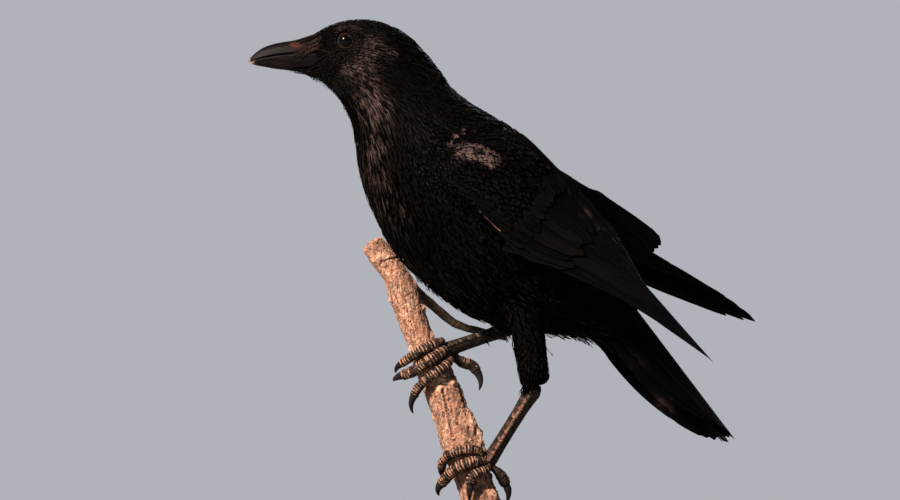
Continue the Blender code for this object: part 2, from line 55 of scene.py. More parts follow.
SIDES = {"left": -1, "right": 1}
FLESH = ["head", "neck", "breast", "belly", "rump", "chin", "wing_left_coverts",
         "wing_right_coverts", "thigh_left", "thigh_right"]
SHANKS = ["tarsus_" + label for label in SIDES]
TOES = ("inner", "middle", "outer", "hind")
FLESH_VOXEL = 1.9
FOOT_VOXEL = 0.55
FOOT_SWELL = 0.35
SCUTE_PITCH = 2.05
SCUTE_GRID = (4, 11)
SCUTE_ARC = math.radians(88)
SCUTE_LIFT = 0.32
SCUTE_ROOT = -0.25  # height of a plate's hidden edge
FOOT_RINGS = 60
SHANK_FRONT = np.array((-1.0, -0.35, 0.1))
SHANK_WEAR_AND_GLINT = {"left": (0.32, 0.70), "right": (0.05, 0.05)}  # a band of wear and a thinner glint beside it, both painted glint on the near shank; the far shank's low values are painted shade
SHANK_SWELL = 0.85
FLATNESS = 0.02  # how far a flat end's points stray from its plane
CUT_CLOSING = 0.55  # fills the thin cuts between the solids of the body

# How the plumage lies: a place on the body, the way that feathers lie there, their length and
# width, and how high their tips stand over the skin. Places are for the side at +Y.
LIE = (
    # head
    ((-134, 3, 432), (1, 0.05, 0.25), 4.7, 1.6, 0.6),
    ((-131, 9, 424), (1, 0.25, 0.05), 4.2, 1.5, 0.5),
    ((-121, 5, 440), (1, 0, 0.22), 5.5, 1.9, 0.7),
    ((-99, 5, 443), (1, 0, -0.08), 7.0, 3.0, 1.2),
    ((-74, 8, 436), (0.85, 0, -0.5), 13, 4.3, 3.0),
    ((-114, 14, 436), (1, 0.1, 0.1), 4.4, 1.5, 0.6),
    ((-104, 17, 428), (1, 0.05, -0.2), 5.2, 1.8, 0.7),
    ((-114, 15, 418), (0.95, 0.1, -0.25), 4.9, 1.6, 0.6),
    ((-128, 12, 411), (0.9, 0.2, -0.35), 4.4, 1.5, 0.5),
    ((-96, 20, 412), (0.9, 0.05, -0.45), 7.3, 2.5, 0.9),
    ((-112, 17, 400), (0.7, 0.1, -0.7), 6.8, 2.1, 0.8),
    ((-140, 3, 403), (0.95, 0, -0.3), 5.9, 1.6, 0.6),
    ((-128, 3, 397), (0.8, 0, -0.6), 7.8, 2.1, 0.9),
    # neck and throat
    ((-112, 5, 374), (0.35, 0, -0.95), 16, 1.5, 2.2),
    ((-102, 17, 378), (0.45, 0.05, -0.9), 16, 1.5, 1.9),
    ((-80, 22, 400), (0.75, 0.1, -0.65), 10, 1.9, 1.2),
    ((-56, 10, 417), (0.66, 0, -0.75), 16, 4.4, 3.5),
    ((-84, 24, 362), (0.45, 0.05, -0.9), 16, 2.0, 1.5),
    ((-105, 7, 345), (0.12, 0, -1), 16, 2.0, 1.5),
    ((-60, 25, 375), (0.62, 0.1, -0.78), 15, 2.8, 1.5),
    ((-98, 10, 315), (0.15, 0, -1), 18, 3.0, 1.9),
    ((-72, 30, 330), (0.4, 0.05, -0.9), 18, 3.4, 1.9),
    ((-40, 12, 398), (0.72, 0, -0.7), 16, 4.0, 1.5),
    # breast and belly
    ((-88, 12, 288), (0.35, 0, -0.93), 19, 4.0, 3.4),
    ((-60, 42, 300), (0.5, 0.1, -0.85), 19, 4.6, 2.0),
    ((-66, 14, 258), (0.6, 0, -0.8), 20, 5.2, 2.3),
    ((-28, 48, 270), (0.65, 0.1, -0.75), 22, 5.5, 2.2),
    ((-40, 12, 236), (0.82, 0, -0.55), 22, 5.4, 5.2),
    ((0, 45, 240), (0.8, 0.1, -0.6), 24, 5.8, 2.4),
    ((-8, 10, 220), (0.95, 0, -0.25), 24, 5.4, 3.8),
    ((25, 35, 225), (0.9, 0, -0.35), 22, 5.4, 2.4),
    ((20, 10, 212), (1, 0, -0.1), 24, 5.6, 2.7),
    ((55, 12, 209), (1, 0, -0.05), 24, 5.6, 2.7),
    ((80, 8, 203), (0.9, 0, -0.35), 25, 8.5, 2.2),
    # back and rump
    ((-21, 15, 381), (0.86, 0, -0.45), 16, 9.0, 2.0),
    ((5, 18, 366), (0.8, 0, -0.58), 18, 10, 2.0),
    ((40, 15, 336), (0.7, 0, -0.72), 21, 11, 2.2),
    ((62, 14, 305), (0.55, 0, -0.83), 22, 11, 2.2),
    ((60, 36, 270), (0.6, 0.05, -0.8), 22, 10, 2.3),
    ((86, 10, 260), (0.42, 0, -0.9), 24, 11, 2.0),
    ((85, 22, 230), (0.5, 0, -0.85), 24, 10, 2.2),
    ((98, 6, 230), (0.5, 0, -0.86), 26, 10, 1.6),
    # shoulder and wing
    ((-40, 43, 338), (0.8, 0.1, -0.55), 7.0, 4.2, 1.0),
    ((-30, 46, 345), (0.8, 0.1, -0.5), 8.0, 4.8, 1.2),
    ((-18, 55, 330), (0.7, 0.1, -0.66), 10, 6.0, 1.4),
    ((-10, 40, 355), (0.75, 0, -0.6), 12, 7.5, 1.6),
    ((5, 58, 318), (0.68, 0.1, -0.7), 13, 7.5, 1.7),
    ((30, 45, 318), (0.66, 0, -0.73), 16, 9.0, 1.8),
    # thighs
    ((14, 26, 232), (0.3, 0.1, -0.9), 13, 6.0, 2.2),
    ((20, 32, 205), (0.12, 0, -1), 12, 5.0, 1.8),
    ((24, 33, 190), (0.1, 0, -1), 11, 3.0, 1.9),
    ((26, 31, 181), (0.1, 0, -1), 9, 2.4, 1.0),
    ((18, 31, 180), (-0.12, 0, -1), 17, 2.4, 2.0),
)
LOFT = 0.55  # share of those heights that the smooth, tight plumage keeps
TIP_RISE = 0.9  # how much higher the tips stand than the flesh of the solids
DEEPEST_COAT = 1.5
THIN_SHANK = 14.0  # within this distance of the heel there is almost no coat
ANKLES = ((23.2, -31, 172), (16, 33.5, 221))
COAT_FLOOR = 0.35  # depth of the coat under its lowest feathers
# Loose wisps: name, the box of their roots, their lie, number, length, width, height and how
# closely they follow the body
WISPS = (
    ("chin", (-146, -5, 398), (-122, 5, 406), (0.85, 0, -0.5), 130, 7.5, 0.45, 3.0, 0.55),
    ("throat", (-118, -9, 366), (-106, 9, 392), (0.2, 0, -1), 90, 10, 0.6, 2.8, 0.55),
    ("nape", (-62, -13, 398), (-44, 13, 420), (0.72, 0, -0.7), 70, 11, 1.6, 3.4, 0.75),
    ("belly", (-16, -26, 214), (14, 26, 224), (0.85, 0, -0.5), 190, 13, 1.0, 6.0, 0.55),
    ("vent", (26, -24, 206), (58, 24, 212), (0.9, 0, -0.4), 190, 14, 1.0, 5.5, 0.55),
    ("breast", (-74, -20, 240), (-36, 20, 262), (0.75, 0, -0.7), 120, 12, 1.1, 4.5, 0.55),
    ("left_thigh_hem", (11, -37, 180), (24, -25, 190), (-0.04, 0, -1), 110, 15, 2.2, 1.8, 0.25),
    ("right_thigh_hem", (8, 27, 224), (18, 40, 232), (-0.3, 0, -1), 70, 10, 1.8, 1.6, 0.3),
)
# Length and height of points along the outline of the bill's root and of the back, down to
# where the wings take over; at 500 nothing is held down
ROOFLINE = ((-155.2, 427.4), (-151.1, 428.3), (-147.0, 429.4), (-142.9, 430.6), (-138.8, 432.0),
            (-134.7, 433.8), (-132, 500), (-40, 500), (-34, 394.5), (-20, 384), (-5.5, 374.8),
            (3, 369.6), (11, 363.8), (18.5, 357.6), (25.7, 351), (37, 339.4), (43, 333), (56, 325.4),
            (66, 320.2), (74, 500), (500, 500))
# The same for the upper edge of the near wing's fan and of the tail
WING_EDGE = ((0, 500), (40, 352), (56.3, 325), (80.8, 294), (105.3, 249), (128.4, 222.2),
             (151.6, 195.6), (162, 183))
TAIL_EDGE = ((0, 500), (54.6, 291.5), (98.5, 232.8), (169.2, 139.2), (176, 130))
EDGE_SOFTNESS = 0.8
ROOF_SOFTNESS = 1.5
SPACING = 0.37  # distance between roots, as a share of the root of length times width
ROOT_CELL = 3.0  # size of the cells in which the neighbours of a root are looked up
LAST_SMALL_COVERT = 0.70  # share of the arm from the wrist, from where the rows take over
FACE_FRONT = -134.5  # no feathers ahead of it, but for the chin's below CHIN_HEIGHT
CHIN_AHEAD, CHIN_HEIGHT = 30, 408
GAPE_CLEARANCE = 1.2
SMALL_FEATHER = 8.5  # below this length a body feather is a fine one
WAY_SPREAD, WISP_WAY_SPREAD = 0.07, 0.13  # how far single feathers stray from the common lie
LENGTH_SPREAD = (0.86, 1.14)
WIDTH_SPREAD = HEIGHT_SPREAD = (0.85, 1.12)
VANE_ROLL = 0.10
# A feather is held to what lies under it, in full up to a gap of 1.5 mm and not beyond 4 mm
HOLD_START, HOLD_FADE = 1.6, 2.5
MAP_MARGIN = 0.04  # round each side of the skin's unwrap, as a share of its cell
MAP_PATCH = 0.0015  # half the size of each vane's patch on the map
FINE_VANE = {"rows": 4, "columns": 3, "pointed": 0.9, "cup": 0.15, "root_height": 0.2}
BROAD_VANE = {"rows": 6, "columns": 5, "pointed": 0.75, "cup": 0.12, "root_height": 0.6,
              "ragged": 0.2}
NECK_VANE = {"rows": 6, "columns": 5, "pointed": 0.95, "cup": 0.15, "root_height": 0.7,
             "ragged": 0.2}

# Wing: the arm's upper and lower edge from wrist to elbow, then the tips of its fan
ARM = {
    "left": (((-41, -41, 341), (-44, -43, 335)), ((-33, -38, 348), (-40, -47, 326)),
             ((-20, -33, 359), (-31, -53, 314)), ((7, -21, 360), (-16, -60, 300)),
             ((33, -19, 343), (3, -64, 280)), ((54, -22, 321), (16, -67, 269))),
    "right": (((-37, 41, 345), (-41, 43, 339)), ((-30, 38, 352), (-37, 48, 331)),
              ((-17, 32, 363), (-27, 54, 320)), ((9, 20, 361), (-10, 61, 306)),
              ((35, 16, 341), (10, 65, 291)), ((56.5, 15, 321.5), (24.5, 67, 281))),
}
FAN_TIPS = {
    "left": ((87, -40, 278), (97, -50, 265), (106, -62, 250), (110, -68, 243),
             (120, -76, 232), (133, -88, 218.5), (144, -100, 206), (152.3, -109, 195.8),
             (144, -105, 205.5)),
    "right": ((117, 34, 284), (118, 40, 279), (112, 50, 272), (110, 60, 264), (132, 74, 255),
              (152, 88, 246), (172, 102, 235), (187.4, 114, 222.4), (162, 106, 228)),
}
TERTIAL_BOW = {"left": 0.0, "right": 4.5}
PRIMARY_BOW = {"left": 6.0, "right": 0.0}
ARM_CAMBER = 11.0
TIP_CAMBER = 2.0
TERTIALS, SECONDARIES, PRIMARIES = 3, 7, 10
FLIGHT_ROWS = 44
NOTCHES = 3  # splits in each long feather's vanes
SHAFT_WIDTH = 0.75
VANE_THICKNESS = 0.34
EDGE_STEP = 0.02  # how far across, as a share of the wing or tail, a vane's way is measured
INNER_VANE = np.array((-1.0, -0.66, -0.36, -0.12))  # columns of points, as shares of its width
OUTER_VANE = np.array((0.14, 0.4, 0.7, 1.0))
FLIGHT_SPAN = (-0.12, 1.02)  # from under the coverts to past the fan's tips
FLIGHT_SUNK = 1.2  # how deep the shafts lie in the fan's outer face

# Tail: the ridge of its roof, as in the solids
TAIL_ROOT = (54.6, 288.0)
TAIL_TIP = (168.4, 140.2)
TAIL_START = 84.0
TAIL_HALF_WIDTH = (19.0, 22.5)
TAIL_DROP = (36.0, 15.0)
TAIL_BELLY = 6.0
TAIL_ROLL = (math.radians(12), math.radians(19))
OUTER_TAIL_SHORTER = 14.0
TAIL_REACH = (0.035, 0.065, 0.05, 0.035, 0.02, 0.01)  # past the roof, middle feather first
TAIL_SUNK = 1.1  # how deep the shafts lie in the roof

# Rows of coverts: start and end from the arm's end, rise at root and tip, half width, number,
# and the part of the wing they span, from its upper edge to its leading edge
COVERT_BANDS = (
    (-18, 34, (0.2, 1.0), 6.2, 15, 0.04, 1.0),
    (-36, -3, (0.5, 2.0), 5.6, 14, 0.06, 0.98),
    (-50, -22, (0.9, 2.6), 5.0, 14, 0.08, 0.97),
    (-64, -40, (1.2, 3.0), 4.6, 14, 0.10, 0.96),
    (-76, -55, (1.4, 3.1), 4.2, 13, 0.12, 0.94),
    (-34, 8, (0.8, 1.6), 7.0, 4, 0.02, 0.22),
    (-56, -14, (-0.8, 1.8), 7.0, 4, 0.02, 0.22),
    (-70, -34, (-3.6, 1.7), 6.0, 4, 0.04, 0.24),
    (-44, -8, (1.0, 2.2), 3.0, 3, 0.90, 0.98),
)
COVERT_ROWS = 16
COVERT_TIP = 0.42
# The pale streak at the wing's bend, a painted glint on the alula's shaft: its share across the
# wing, start, end, rise, half width, tip and seed
ALULA = (0.985, -47, -25, (1.6, 2.4), 1.0, 0.3, 900)
PATH_SMOOTHING = 12

BRANCH_LINE = (
    (-93.5, 24, 277.5, 8.6), (-85.5, 22.5, 267, 9.9), (-75.5, 20, 253, 9.8), (-69, 17, 236, 10.9),
    (-61, 13, 213.5, 10.9), (-51, 9, 190, 12.0), (-38.5, 4, 160.6, 13.8), (-28.7, -1, 131.2, 14.2),
    (-20.6, -5, 108.4, 13.9), (-11, -10, 79, 14.4), (-2, -15, 52, 14.6))
BRANCH_CUT = 54.0
BARK_SMOOTH_WAY = np.array((-0.9, -0.44, 0.0))  # the lit side, where the bark is smoothest; the side away from it is rough and gets painted shade
# Height, way out from the axis, size and height of each scar
BARK_KNOBS = (
    (248, 1, -0.2, 2.4, 1.5), (252, 0.9, 0.1, 1.6, 1.0), (231, 1, -0.2, 2.6, 1.6),
    (236, 1, 0.1, 1.7, 0.9), (237, -1, -0.3, 2.0, 1.3), (256, -0.5, -0.9, 2.6, 1.1),
    (269, -0.2, -1, 2.4, 1.0), (268, 0.4, -0.9, 2.0, 0.9), (266, -0.8, -0.6, 1.8, 1.2),
    (184, -0.4, -0.9, 3.4, 1.2), (180, 0.3, -0.95, 2.8, 1.3), (175, 0.7, -0.7, 3.2, 1.5),
    (172, -0.1, -1, 2.6, 1.0), (177, 0.9, -0.4, 2.6, 1.3), (153, 0.95, -0.3, 4.5, 1.8),
    (146, 0.9, -0.5, 4.2, 2.2), (139, 0.95, -0.2, 4.6, 2.6), (131, 0.9, -0.4, 4.2, 2.2),
    (124, 0.95, -0.3, 4.4, 1.8), (121, 0.3, -0.9, 3.4, 1.0), (120, -0.4, -0.9, 3.0, 0.9),
    (118, -0.9, -0.3, 3.0, 0.9), (150, -1, 0, 2.4, 0.8), (200, -0.9, -0.4, 2.2, 0.8),
    (211, 0.9, -0.4, 2.0, 0.9), (95, 0.8, -0.6, 4.0, 1.4), (84, -0.8, -0.6, 3.4, 1.2))
BARK_GRID = (620, 132)  # rings along the branch and points round each
# Fibres and fine grain: stretch along the branch, size, seed and height
BARK_GRAIN = ((0.20, 2.4, 2, 0.13), (0.35, 5.2, 1, 0.22), (1, 1.9, 3, 0.17), (1, 1.1, 5, 0.15))
SMALL_WARTS = 150
KNOB_HEIGHT = 1.45
# Cracks as points (x, z), with width and depth
BARK_CRACKS = (
    (((-88, 264.5), (-81, 267), (-74, 268.6)), 0.55, 1.1),
    (((-42, 172), (-39.7, 160), (-37.5, 149), (-35.3, 137)), 0.75, 1.3),
    (((-51, 184), (-40.4, 179.7), (-30, 183)), 0.5, 1.0),
    (((-45, 175.5), (-36, 174), (-27, 172)), 0.5, 0.9),
    (((-48, 166), (-40, 163), (-36, 165)), 0.45, 0.8),
    (((-41, 125), (-32, 126), (-22, 128.5)), 0.6, 1.0),
    (((-72, 243), (-69, 236), (-68, 228)), 0.4, 0.7),
    (((-66, 222), (-63, 213), (-62, 204)), 0.4, 0.7))
TWIG_ROOT = ((-54.5, 27.5, 237.0), (-65.0, 17.0, 243.5))  # knee and root at the branch
BASE_CORNER = 30.0
ROD_RADIUS = 5.0

CHIN_FRONT, CHIN_TOP = -131.0, 413.0  # the thin flesh between the lower bill's branches
# The mouth's edge and the lower bill's branch, on the side at +Y, with their half widths
GAPE_LINES = (
    (((-136.5, 10.0, 421.2), (-131, 11.5, 420.4), (-126, 13.5, 419.0), (-121.3, 15.0, 417.4)), 0.34),
    (((-135.2, 9.6, 412.4), (-132, 10.8, 414.2), (-128.3, 12.0, 416.2)), 0.34),
    (((-140.0, 8.4, 408.8), (-135.2, 9.4, 408.8), (-130.8, 10.8, 409.6)), 0.34))
# Length and height of points along the bill's ridge
CULMEN = ((-184.5, 412.5), (-183.6, 414.8), (-181.3, 417.2), (-178.8, 419.3), (-175.6, 421.6),
          (-171.5, 423.6), (-167.4, 424.9), (-163.3, 425.9), (-159.3, 426.6), (-155.2, 427.2),
          (-151.1, 427.8), (-147.0, 428.8), (-142.9, 430.0), (-138.8, 431.5), (-134.7, 433.2))
BILL_ROOT = 5.0  # how far the horn runs on under the feathers of the face
BRISTLES = 260
BRISTLE_LENGTH = (7, 21)
BRISTLE_WIDTH = 0.62
NOSTRIL = (-149.6, 424.2)
NOSTRIL_SIZE = (5.2, 2.3)
NOSTRIL_SLOPE = 0.10

EYE_CENTRE = (-113.3, 13.3, 427.4)
EYE_RADIUS = 6.2
EYE_GRID = (40, 56)
CORNEA_RISE, CORNEA_WIDTH = 0.05, 0.55  # its height over the ball, and its width in radians
EYE_CLEARANCE = 1.0  # width of the ring round the eye that has no feathers
EYE_WAY = -0.08  # how far forward the eye looks, against 1 sideways
LID_SIZE = ((5.30, 0.85), (4.90, 0.80))  # half length and half height: inner edge, width
# The eyelid's rows from the inner edge out: share of its width, and height
LID_ROWS = ((0.0, -0.6), (0.0, 0.16), (0.25, 0.34), (0.6, 0.25), (1.0, -0.3), (1.3, -1.6))

# Where painted sunlight and painted highlights lie on the black: place on either side, radius, share
PAINTED_LIGHT_PARTS = (
    # face, throat and breast
    ((-101, 18, 408), 21, 0.72), ((-93, 18, 425), 15, 0.62), ((-93, 17, 380), 25, 0.80),
    ((-113, 15, 404), 12, 0.45), ((-105, 11, 438), 10, 0.55), ((-117, 11, 438), 11, 0.5),
    ((-88, 22, 358), 20, 0.5), ((-94, 12, 338), 26, 0.42), ((-86, 15, 316), 26, 0.32),
    ((-76, 20, 294), 28, 0.34), ((-79, 20, 418), 9, 0.4), ((-134, 8, 428), 8, 0.5),
    # shoulder, with its painted highlight, and the painted lit arc over it
    ((-27, 46, 346), 11, 2.0), ((-16, 50, 344), 11, 2.0), ((-6, 53, 339), 9, 1.9),
    ((-37, 43, 352), 4.5, 1.2), ((-33, 43, 357), 4.5, 1.4), ((-27, 42, 361), 4.5, 1.6),
    ((-19, 41, 363), 4.5, 1.6), ((-11, 41, 363.5), 4.5, 1.6), ((-3, 42, 362), 4.5, 1.6),
    ((4, 44, 358), 4.5, 1.6), ((10, 47, 353), 5, 1.4), ((15, 50, 346), 5, 1.0),
    # back edge of the wing, and a painted sheen on the tail
    ((62, 40, 300), 10, 0.35), ((74, 50, 289), 8, 0.3), ((84, 48, 280), 8, 0.3),
    ((98, 24, 188), 22, 0.35), ((120, 26, 158), 20, 0.35))
# The cap of that painted light, and its warm colour
PAINTED_LIGHT_CAP = 1.95
SIDEWAYS = 0.35  # those places reach further sideways than along the outline
PAINTED_LIGHT_BROWN = (0.076, 0.054, 0.051)
# Mottled finishes: name, specular level, scale and detail of the noise, where it changes tone,
# both colours, roughness and depth of the relief
UNDER_DOWN = ("under_down", 0.02, 420.0, 4.0, (0.3, 0.8), (0.0010, 0.0010, 0.0010),
              (0.0032, 0.0027, 0.0025), 0.62, 0.35)
# A pale streak that stands as a painted glint on the alula's shaft
ALULA_PAINTED_GLINT = ("alula_glint_paint", 0.4, 300.0, 3.0, (0.35, 0.7), (0.11, 0.045, 0.028),
              (0.30, 0.13, 0.085), 0.35, 0.1)

BACKDROP = (0.440, 0.450, 0.490)
BACKDROP_SPILL = 0.26  # share of its brightness that falls on the model
# Lights: name, place in metres, size, power and colour
LIGHTS = (("sun_box", (-2.75, -3.1, 3.1), 0.70, 780, (1.0, 0.81, 0.67)),
          ("sky_box", (1.2, 0.1, 2.2), 1.4, 9, (0.70, 0.84, 1.0)),
          ("back_box", (0.9, 2.8, 1.9), 1.8, 24, (0.86, 0.92, 1.0)))
LIGHTS_MEET = (-0.03, 0.0, 0.28)
VIEW_CENTRE = (-36.75, 0.0, 273.75)
VIEW_WIDTH = 661.5
VIEW_DISTANCE = 8500.0
SENSOR_WIDTH = 36.0
FLOOR_RADIUS = 2.6  # in metres


# ---------------------------------------------------------------------------------------------
# Finishes
# ---------------------------------------------------------------------------------------------

class Wire:
    """An output socket of a finish, which takes part in sums like a number."""

    def __init__(self, finish, socket):
        self.finish = finish
        self.socket = socket

    def maths(self, operation, *values):
        return self.finish.node("ShaderNodeMath", {"operation": operation},
                                dict(enumerate(values)))

    def __add__(self, other):
        return self.maths("ADD", self, other)

    __radd__ = __add__

    def __sub__(self, other):
        return self.maths("SUBTRACT", self, other)

    def __rsub__(self, other):
        return self.maths("SUBTRACT", other, self)

    def __mul__(self, other):
        return self.maths("MULTIPLY", self, other)

    __rmul__ = __mul__

    def sine(self):
        return self.maths("SINE", self)

    def size(self):
        return self.maths("ABSOLUTE", self)

    def lowest(self, other):
        return self.maths("MINIMUM", self, other)

    def ramp(self, start, end):
        """0 below start and 1 above end, with a soft change between them."""
        return self.finish.node("ShaderNodeMapRange",
                                {"interpolation_type": "SMOOTHSTEP"},
                                {"Value": self, "From Min": start, "From Max": end})


class Finish:
    """A node material round one Principled shader."""

    def __init__(self, name, **constants):
        self.material = bpy.data.materials.new(name)
        self.material.use_nodes = True
        self.tree = self.material.node_tree
        self.shader = self.tree.nodes["Principled BSDF"]
        self.set(**constants)

    def node(self, kind, settings=None, sockets=None, output=0):
        made = self.tree.nodes.new(kind)
        for key, value in (settings or {}).items():
            setattr(made, key, value)
        for key, value in (sockets or {}).items():
            self.feed(made.inputs[key], value)
        return Wire(self, made.outputs[output])

    def feed(self, socket, value):
        if isinstance(value, Wire):
            self.tree.links.new(value.socket, socket)
        elif isinstance(value, tuple) and socket.type == "RGBA":
            socket.default_value = (*value, 1.0)
        else:
            socket.default_value = value

    def set(self, **inputs):
        """Feed the shader's sockets, named with _ for a space."""
        for key, value in inputs.items():
            self.feed(self.shader.inputs[key.replace("_", " ")], value)

    def mix(self, share, low, high):
        """A colour between two colours."""
        made = self.tree.nodes.new("ShaderNodeMix")
        made.data_type = "RGBA"
        self.feed(made.inputs[0], share)
        self.feed(made.inputs[6], low)
        self.feed(made.inputs[7], high)
        return Wire(self, made.outputs[2])

    def place(self):
        """The place on the object, in metres."""
        return self.node("ShaderNodeTexCoord", output="Object")

    def fact(self, name):
        """A value kept on the mesh's points."""
        return self.node("ShaderNodeAttribute", {"attribute_name": name}, output="Fac")

    def noise(self, scale, detail=3.0, rough=0.55, at=None, warp=0.0):
        return self.node("ShaderNodeTexNoise", None,
                         {"Vector": at or self.place(), "Scale": scale, "Detail": detail,
                          "Roughness": rough, "Distortion": warp})

    def stretched(self, x, y, z):
        """The place on the object, scaled by a factor on each axis."""
        return self.node("ShaderNodeVectorMath", {"operation": "MULTIPLY"},
                         {0: self.place(), 1: (x, y, z)})

    def done(self, colour, rough, height, depth, **more):
        """Feed the colour, the roughness and a relief of a depth in millimetres, and give the
        material."""
        relief = self.node("ShaderNodeBump", None, {"Height": height, "Distance": depth * MM},
                           output="Normal")
        self.set(Base_Color=colour, Roughness=rough, Normal=relief, **more)
        self.colour = colour
        return self.material


def painted_light_parts(finish):
    """How much painted light lies on the black of the plumage: most on the ear coverts and the
    throat.
    """
    ahead = finish.node("ShaderNodeVectorMath", {"operation": "ADD"},
                        {0: finish.stretched(1, SIDEWAYS, 1), 1: (1.0, 0.0, 0.0)})
    mirrored = finish.node("ShaderNodeVectorMath", {"operation": "ABSOLUTE"}, {0: ahead})
    light_share = 0
    for (x, y, z), radius, share in PAINTED_LIGHT_PARTS:
        middle = (1 + x * MM, y * SIDEWAYS * MM, z * MM)
        apart = finish.node("ShaderNodeVectorMath", {"operation": "DISTANCE"},
                            {0: mirrored, 1: middle}, output="Value")
        light_share = (1 - apart * (1 / (radius * MM))).ramp(0.0, 1.0) * share + light_share
    return light_share.lowest(PAINTED_LIGHT_CAP)


def feather_finish(name, dark, brown, gloss, barb_pitch, specular=0.025, mottle=1.0):
    """Black plumage: every vane has its own tone, fine barbs and a paler worn edge, with warm
    streaks of painted light and painted highlights where the light falls.
    """
    finish = Finish(name, Specular_IOR_Level=specular)
    tone, along = finish.fact("tone"), finish.fact("along")
    across, reach = finish.fact("across"), finish.fact("reach")
    patchy = finish.noise(38.0, 3.0)
    wear = (reach - 0.78).ramp(0.0, 0.25)
    locks = finish.noise(190.0, 2.0)
    share = (tone * 0.55 + patchy * 0.45 + wear * 0.35).ramp(0.2, 1.15)
    streaks = (tone + locks * 1.3 - 1.15) * mottle + 0.55
    # Painted sunlight and painted highlights: warm streaks over the lit places
    lit = (painted_light_parts(finish) * streaks).ramp(0.05, 0.85)
    colour = finish.mix(share, dark, brown)
    barbs = ((along - across.size() * 0.85) * (2 * math.pi / barb_pitch)).sine()
    loose = finish.noise(700.0, 2.0)
    return finish.done(finish.mix(lit, colour, PAINTED_LIGHT_BROWN), gloss + tone * 0.12 + loose * 0.10,
                       barbs * 0.35 + loose * 0.9, 0.055)


def mottled_finish(name, specular, scale, detail, edges, dark, pale, rough, depth):
    """Two tones after one noise, as on down or on the alula's streak of painted glint."""
    finish = Finish(name, Specular_IOR_Level=specular)
    spots = finish.noise(scale, detail)
    return finish.done(finish.mix(spots.ramp(*edges), dark, pale), rough + spots * 0.2, spots,
                       depth)


def bare_leg_finish():
    """Black scaled skin with worn, reddish brown edges."""
    finish = Finish("bare_leg", Specular_IOR_Level=0.15)
    cells = finish.node("ShaderNodeTexVoronoi", {"feature": "DISTANCE_TO_EDGE"},
                        {"Vector": finish.place(), "Scale": 620.0}, output="Distance")
    grime = finish.noise(160.0, 4.0)
    crease = 1 - cells.ramp(0.02, 0.16)
    dry = (grime * 0.9 - crease * 0.5).ramp(0.25, 0.75)
    return finish.done(finish.mix(dry, (0.0055, 0.0045, 0.0042), (0.060, 0.032, 0.022)),
                       0.42 + grime * 0.25, cells.ramp(0.0, 0.25) + grime * 0.3, 0.22)


def scute_finish():
    """Each plate is dark horn with a pale worn rim at its far edge; the shank's plates also get a
    tan streak of painted glint.
    """
    finish = Finish("scutes", Specular_IOR_Level=0.22)
    tone, reach = finish.fact("tone"), finish.fact("reach")
    wear, painted_glint = finish.fact("wear"), finish.fact("painted_glint")
    scuffs = finish.noise(420.0, 4.0, rough=0.65)
    rim = reach.ramp(0.50, 0.80) * (1 - reach.ramp(0.90, 1.0))
    patches = finish.noise(210.0, 3.0, rough=0.7)
    # The last term is a painted glint; on the shanks the wear band stands for a glint too
    share = (rim * wear * (tone * 1.3 + 0.25) * 1.5 * scuffs.ramp(0.35, 0.62)
             * patches.ramp(0.36, 0.54) + patches.ramp(0.58, 0.68) * wear * 0.5
             + scuffs.ramp(0.60, 0.75) * 0.35 + painted_glint * scuffs.ramp(0.30, 0.58))
    colour = finish.mix(share.lowest(1.0), (0.0070, 0.0058, 0.0055), (0.36, 0.195, 0.125))
    return finish.done(colour, 0.38 + scuffs * 0.3, scuffs, 0.14)


def horn_finish(name, dark, pale, worn_end=0.0):
    """Satin black horn with fine streaks along it, paler where it is worn."""
    finish = Finish(name, Specular_IOR_Level=0.055)
    reach = finish.fact("reach")
    streaks = finish.noise(1.0, 5.0, at=finish.stretched(140, 420, 700))
    scuffs = finish.noise(260.0, 3.0)
    end = reach.ramp(0.90, 1.0) * worn_end
    horn = finish.mix((streaks * 0.5 + scuffs * 0.35 + end).ramp(0.38, 1.05), dark, pale)
    finish.done(horn, 0.36 + scuffs * 0.16 + streaks * 0.08, streaks * 0.8 + scuffs * 0.4, 0.22)
    return finish


def bill_finish():
    """Horn with scratches, a pale tip, the flesh inside the nostrils, painted shade tinted blue as a
    painted sky reflection along the ridge, and paler scratches that also paint light on the lower
    half.
    """
    finish = horn_finish("bill_horn", (0.0034, 0.0029, 0.0032), (0.0125, 0.0089, 0.0090), 1.4)
    flesh, reach = finish.fact("nostril"), finish.fact("reach")
    scratches = finish.noise(1.0, 4.0, rough=0.6, at=finish.stretched(90, 300, 950))
    # Paler streaks on the lower half only: real scratches, and also painted light on that half
    horn = finish.mix(finish.fact("lower") * scratches.ramp(0.42, 0.62) * 0.38,
                      finish.colour, (0.0190, 0.0142, 0.0130))
    horn = finish.mix(scratches.ramp(0.50, 0.36) * 0.6, horn, (0.0030, 0.0027, 0.0028))
    # Painted shade along the ridge, tinted blue as a painted reflection of the sky
    horn = finish.mix(finish.fact("ridge_shade").ramp(0.10, 0.70), horn, (0.0026, 0.0028, 0.0036))
    horn = finish.mix(reach.ramp(0.950, 0.985), horn, (0.190, 0.118, 0.088))
    finish.set(Base_Color=finish.mix(flesh, horn, (0.045, 0.0135, 0.0068)))
    return finish.material


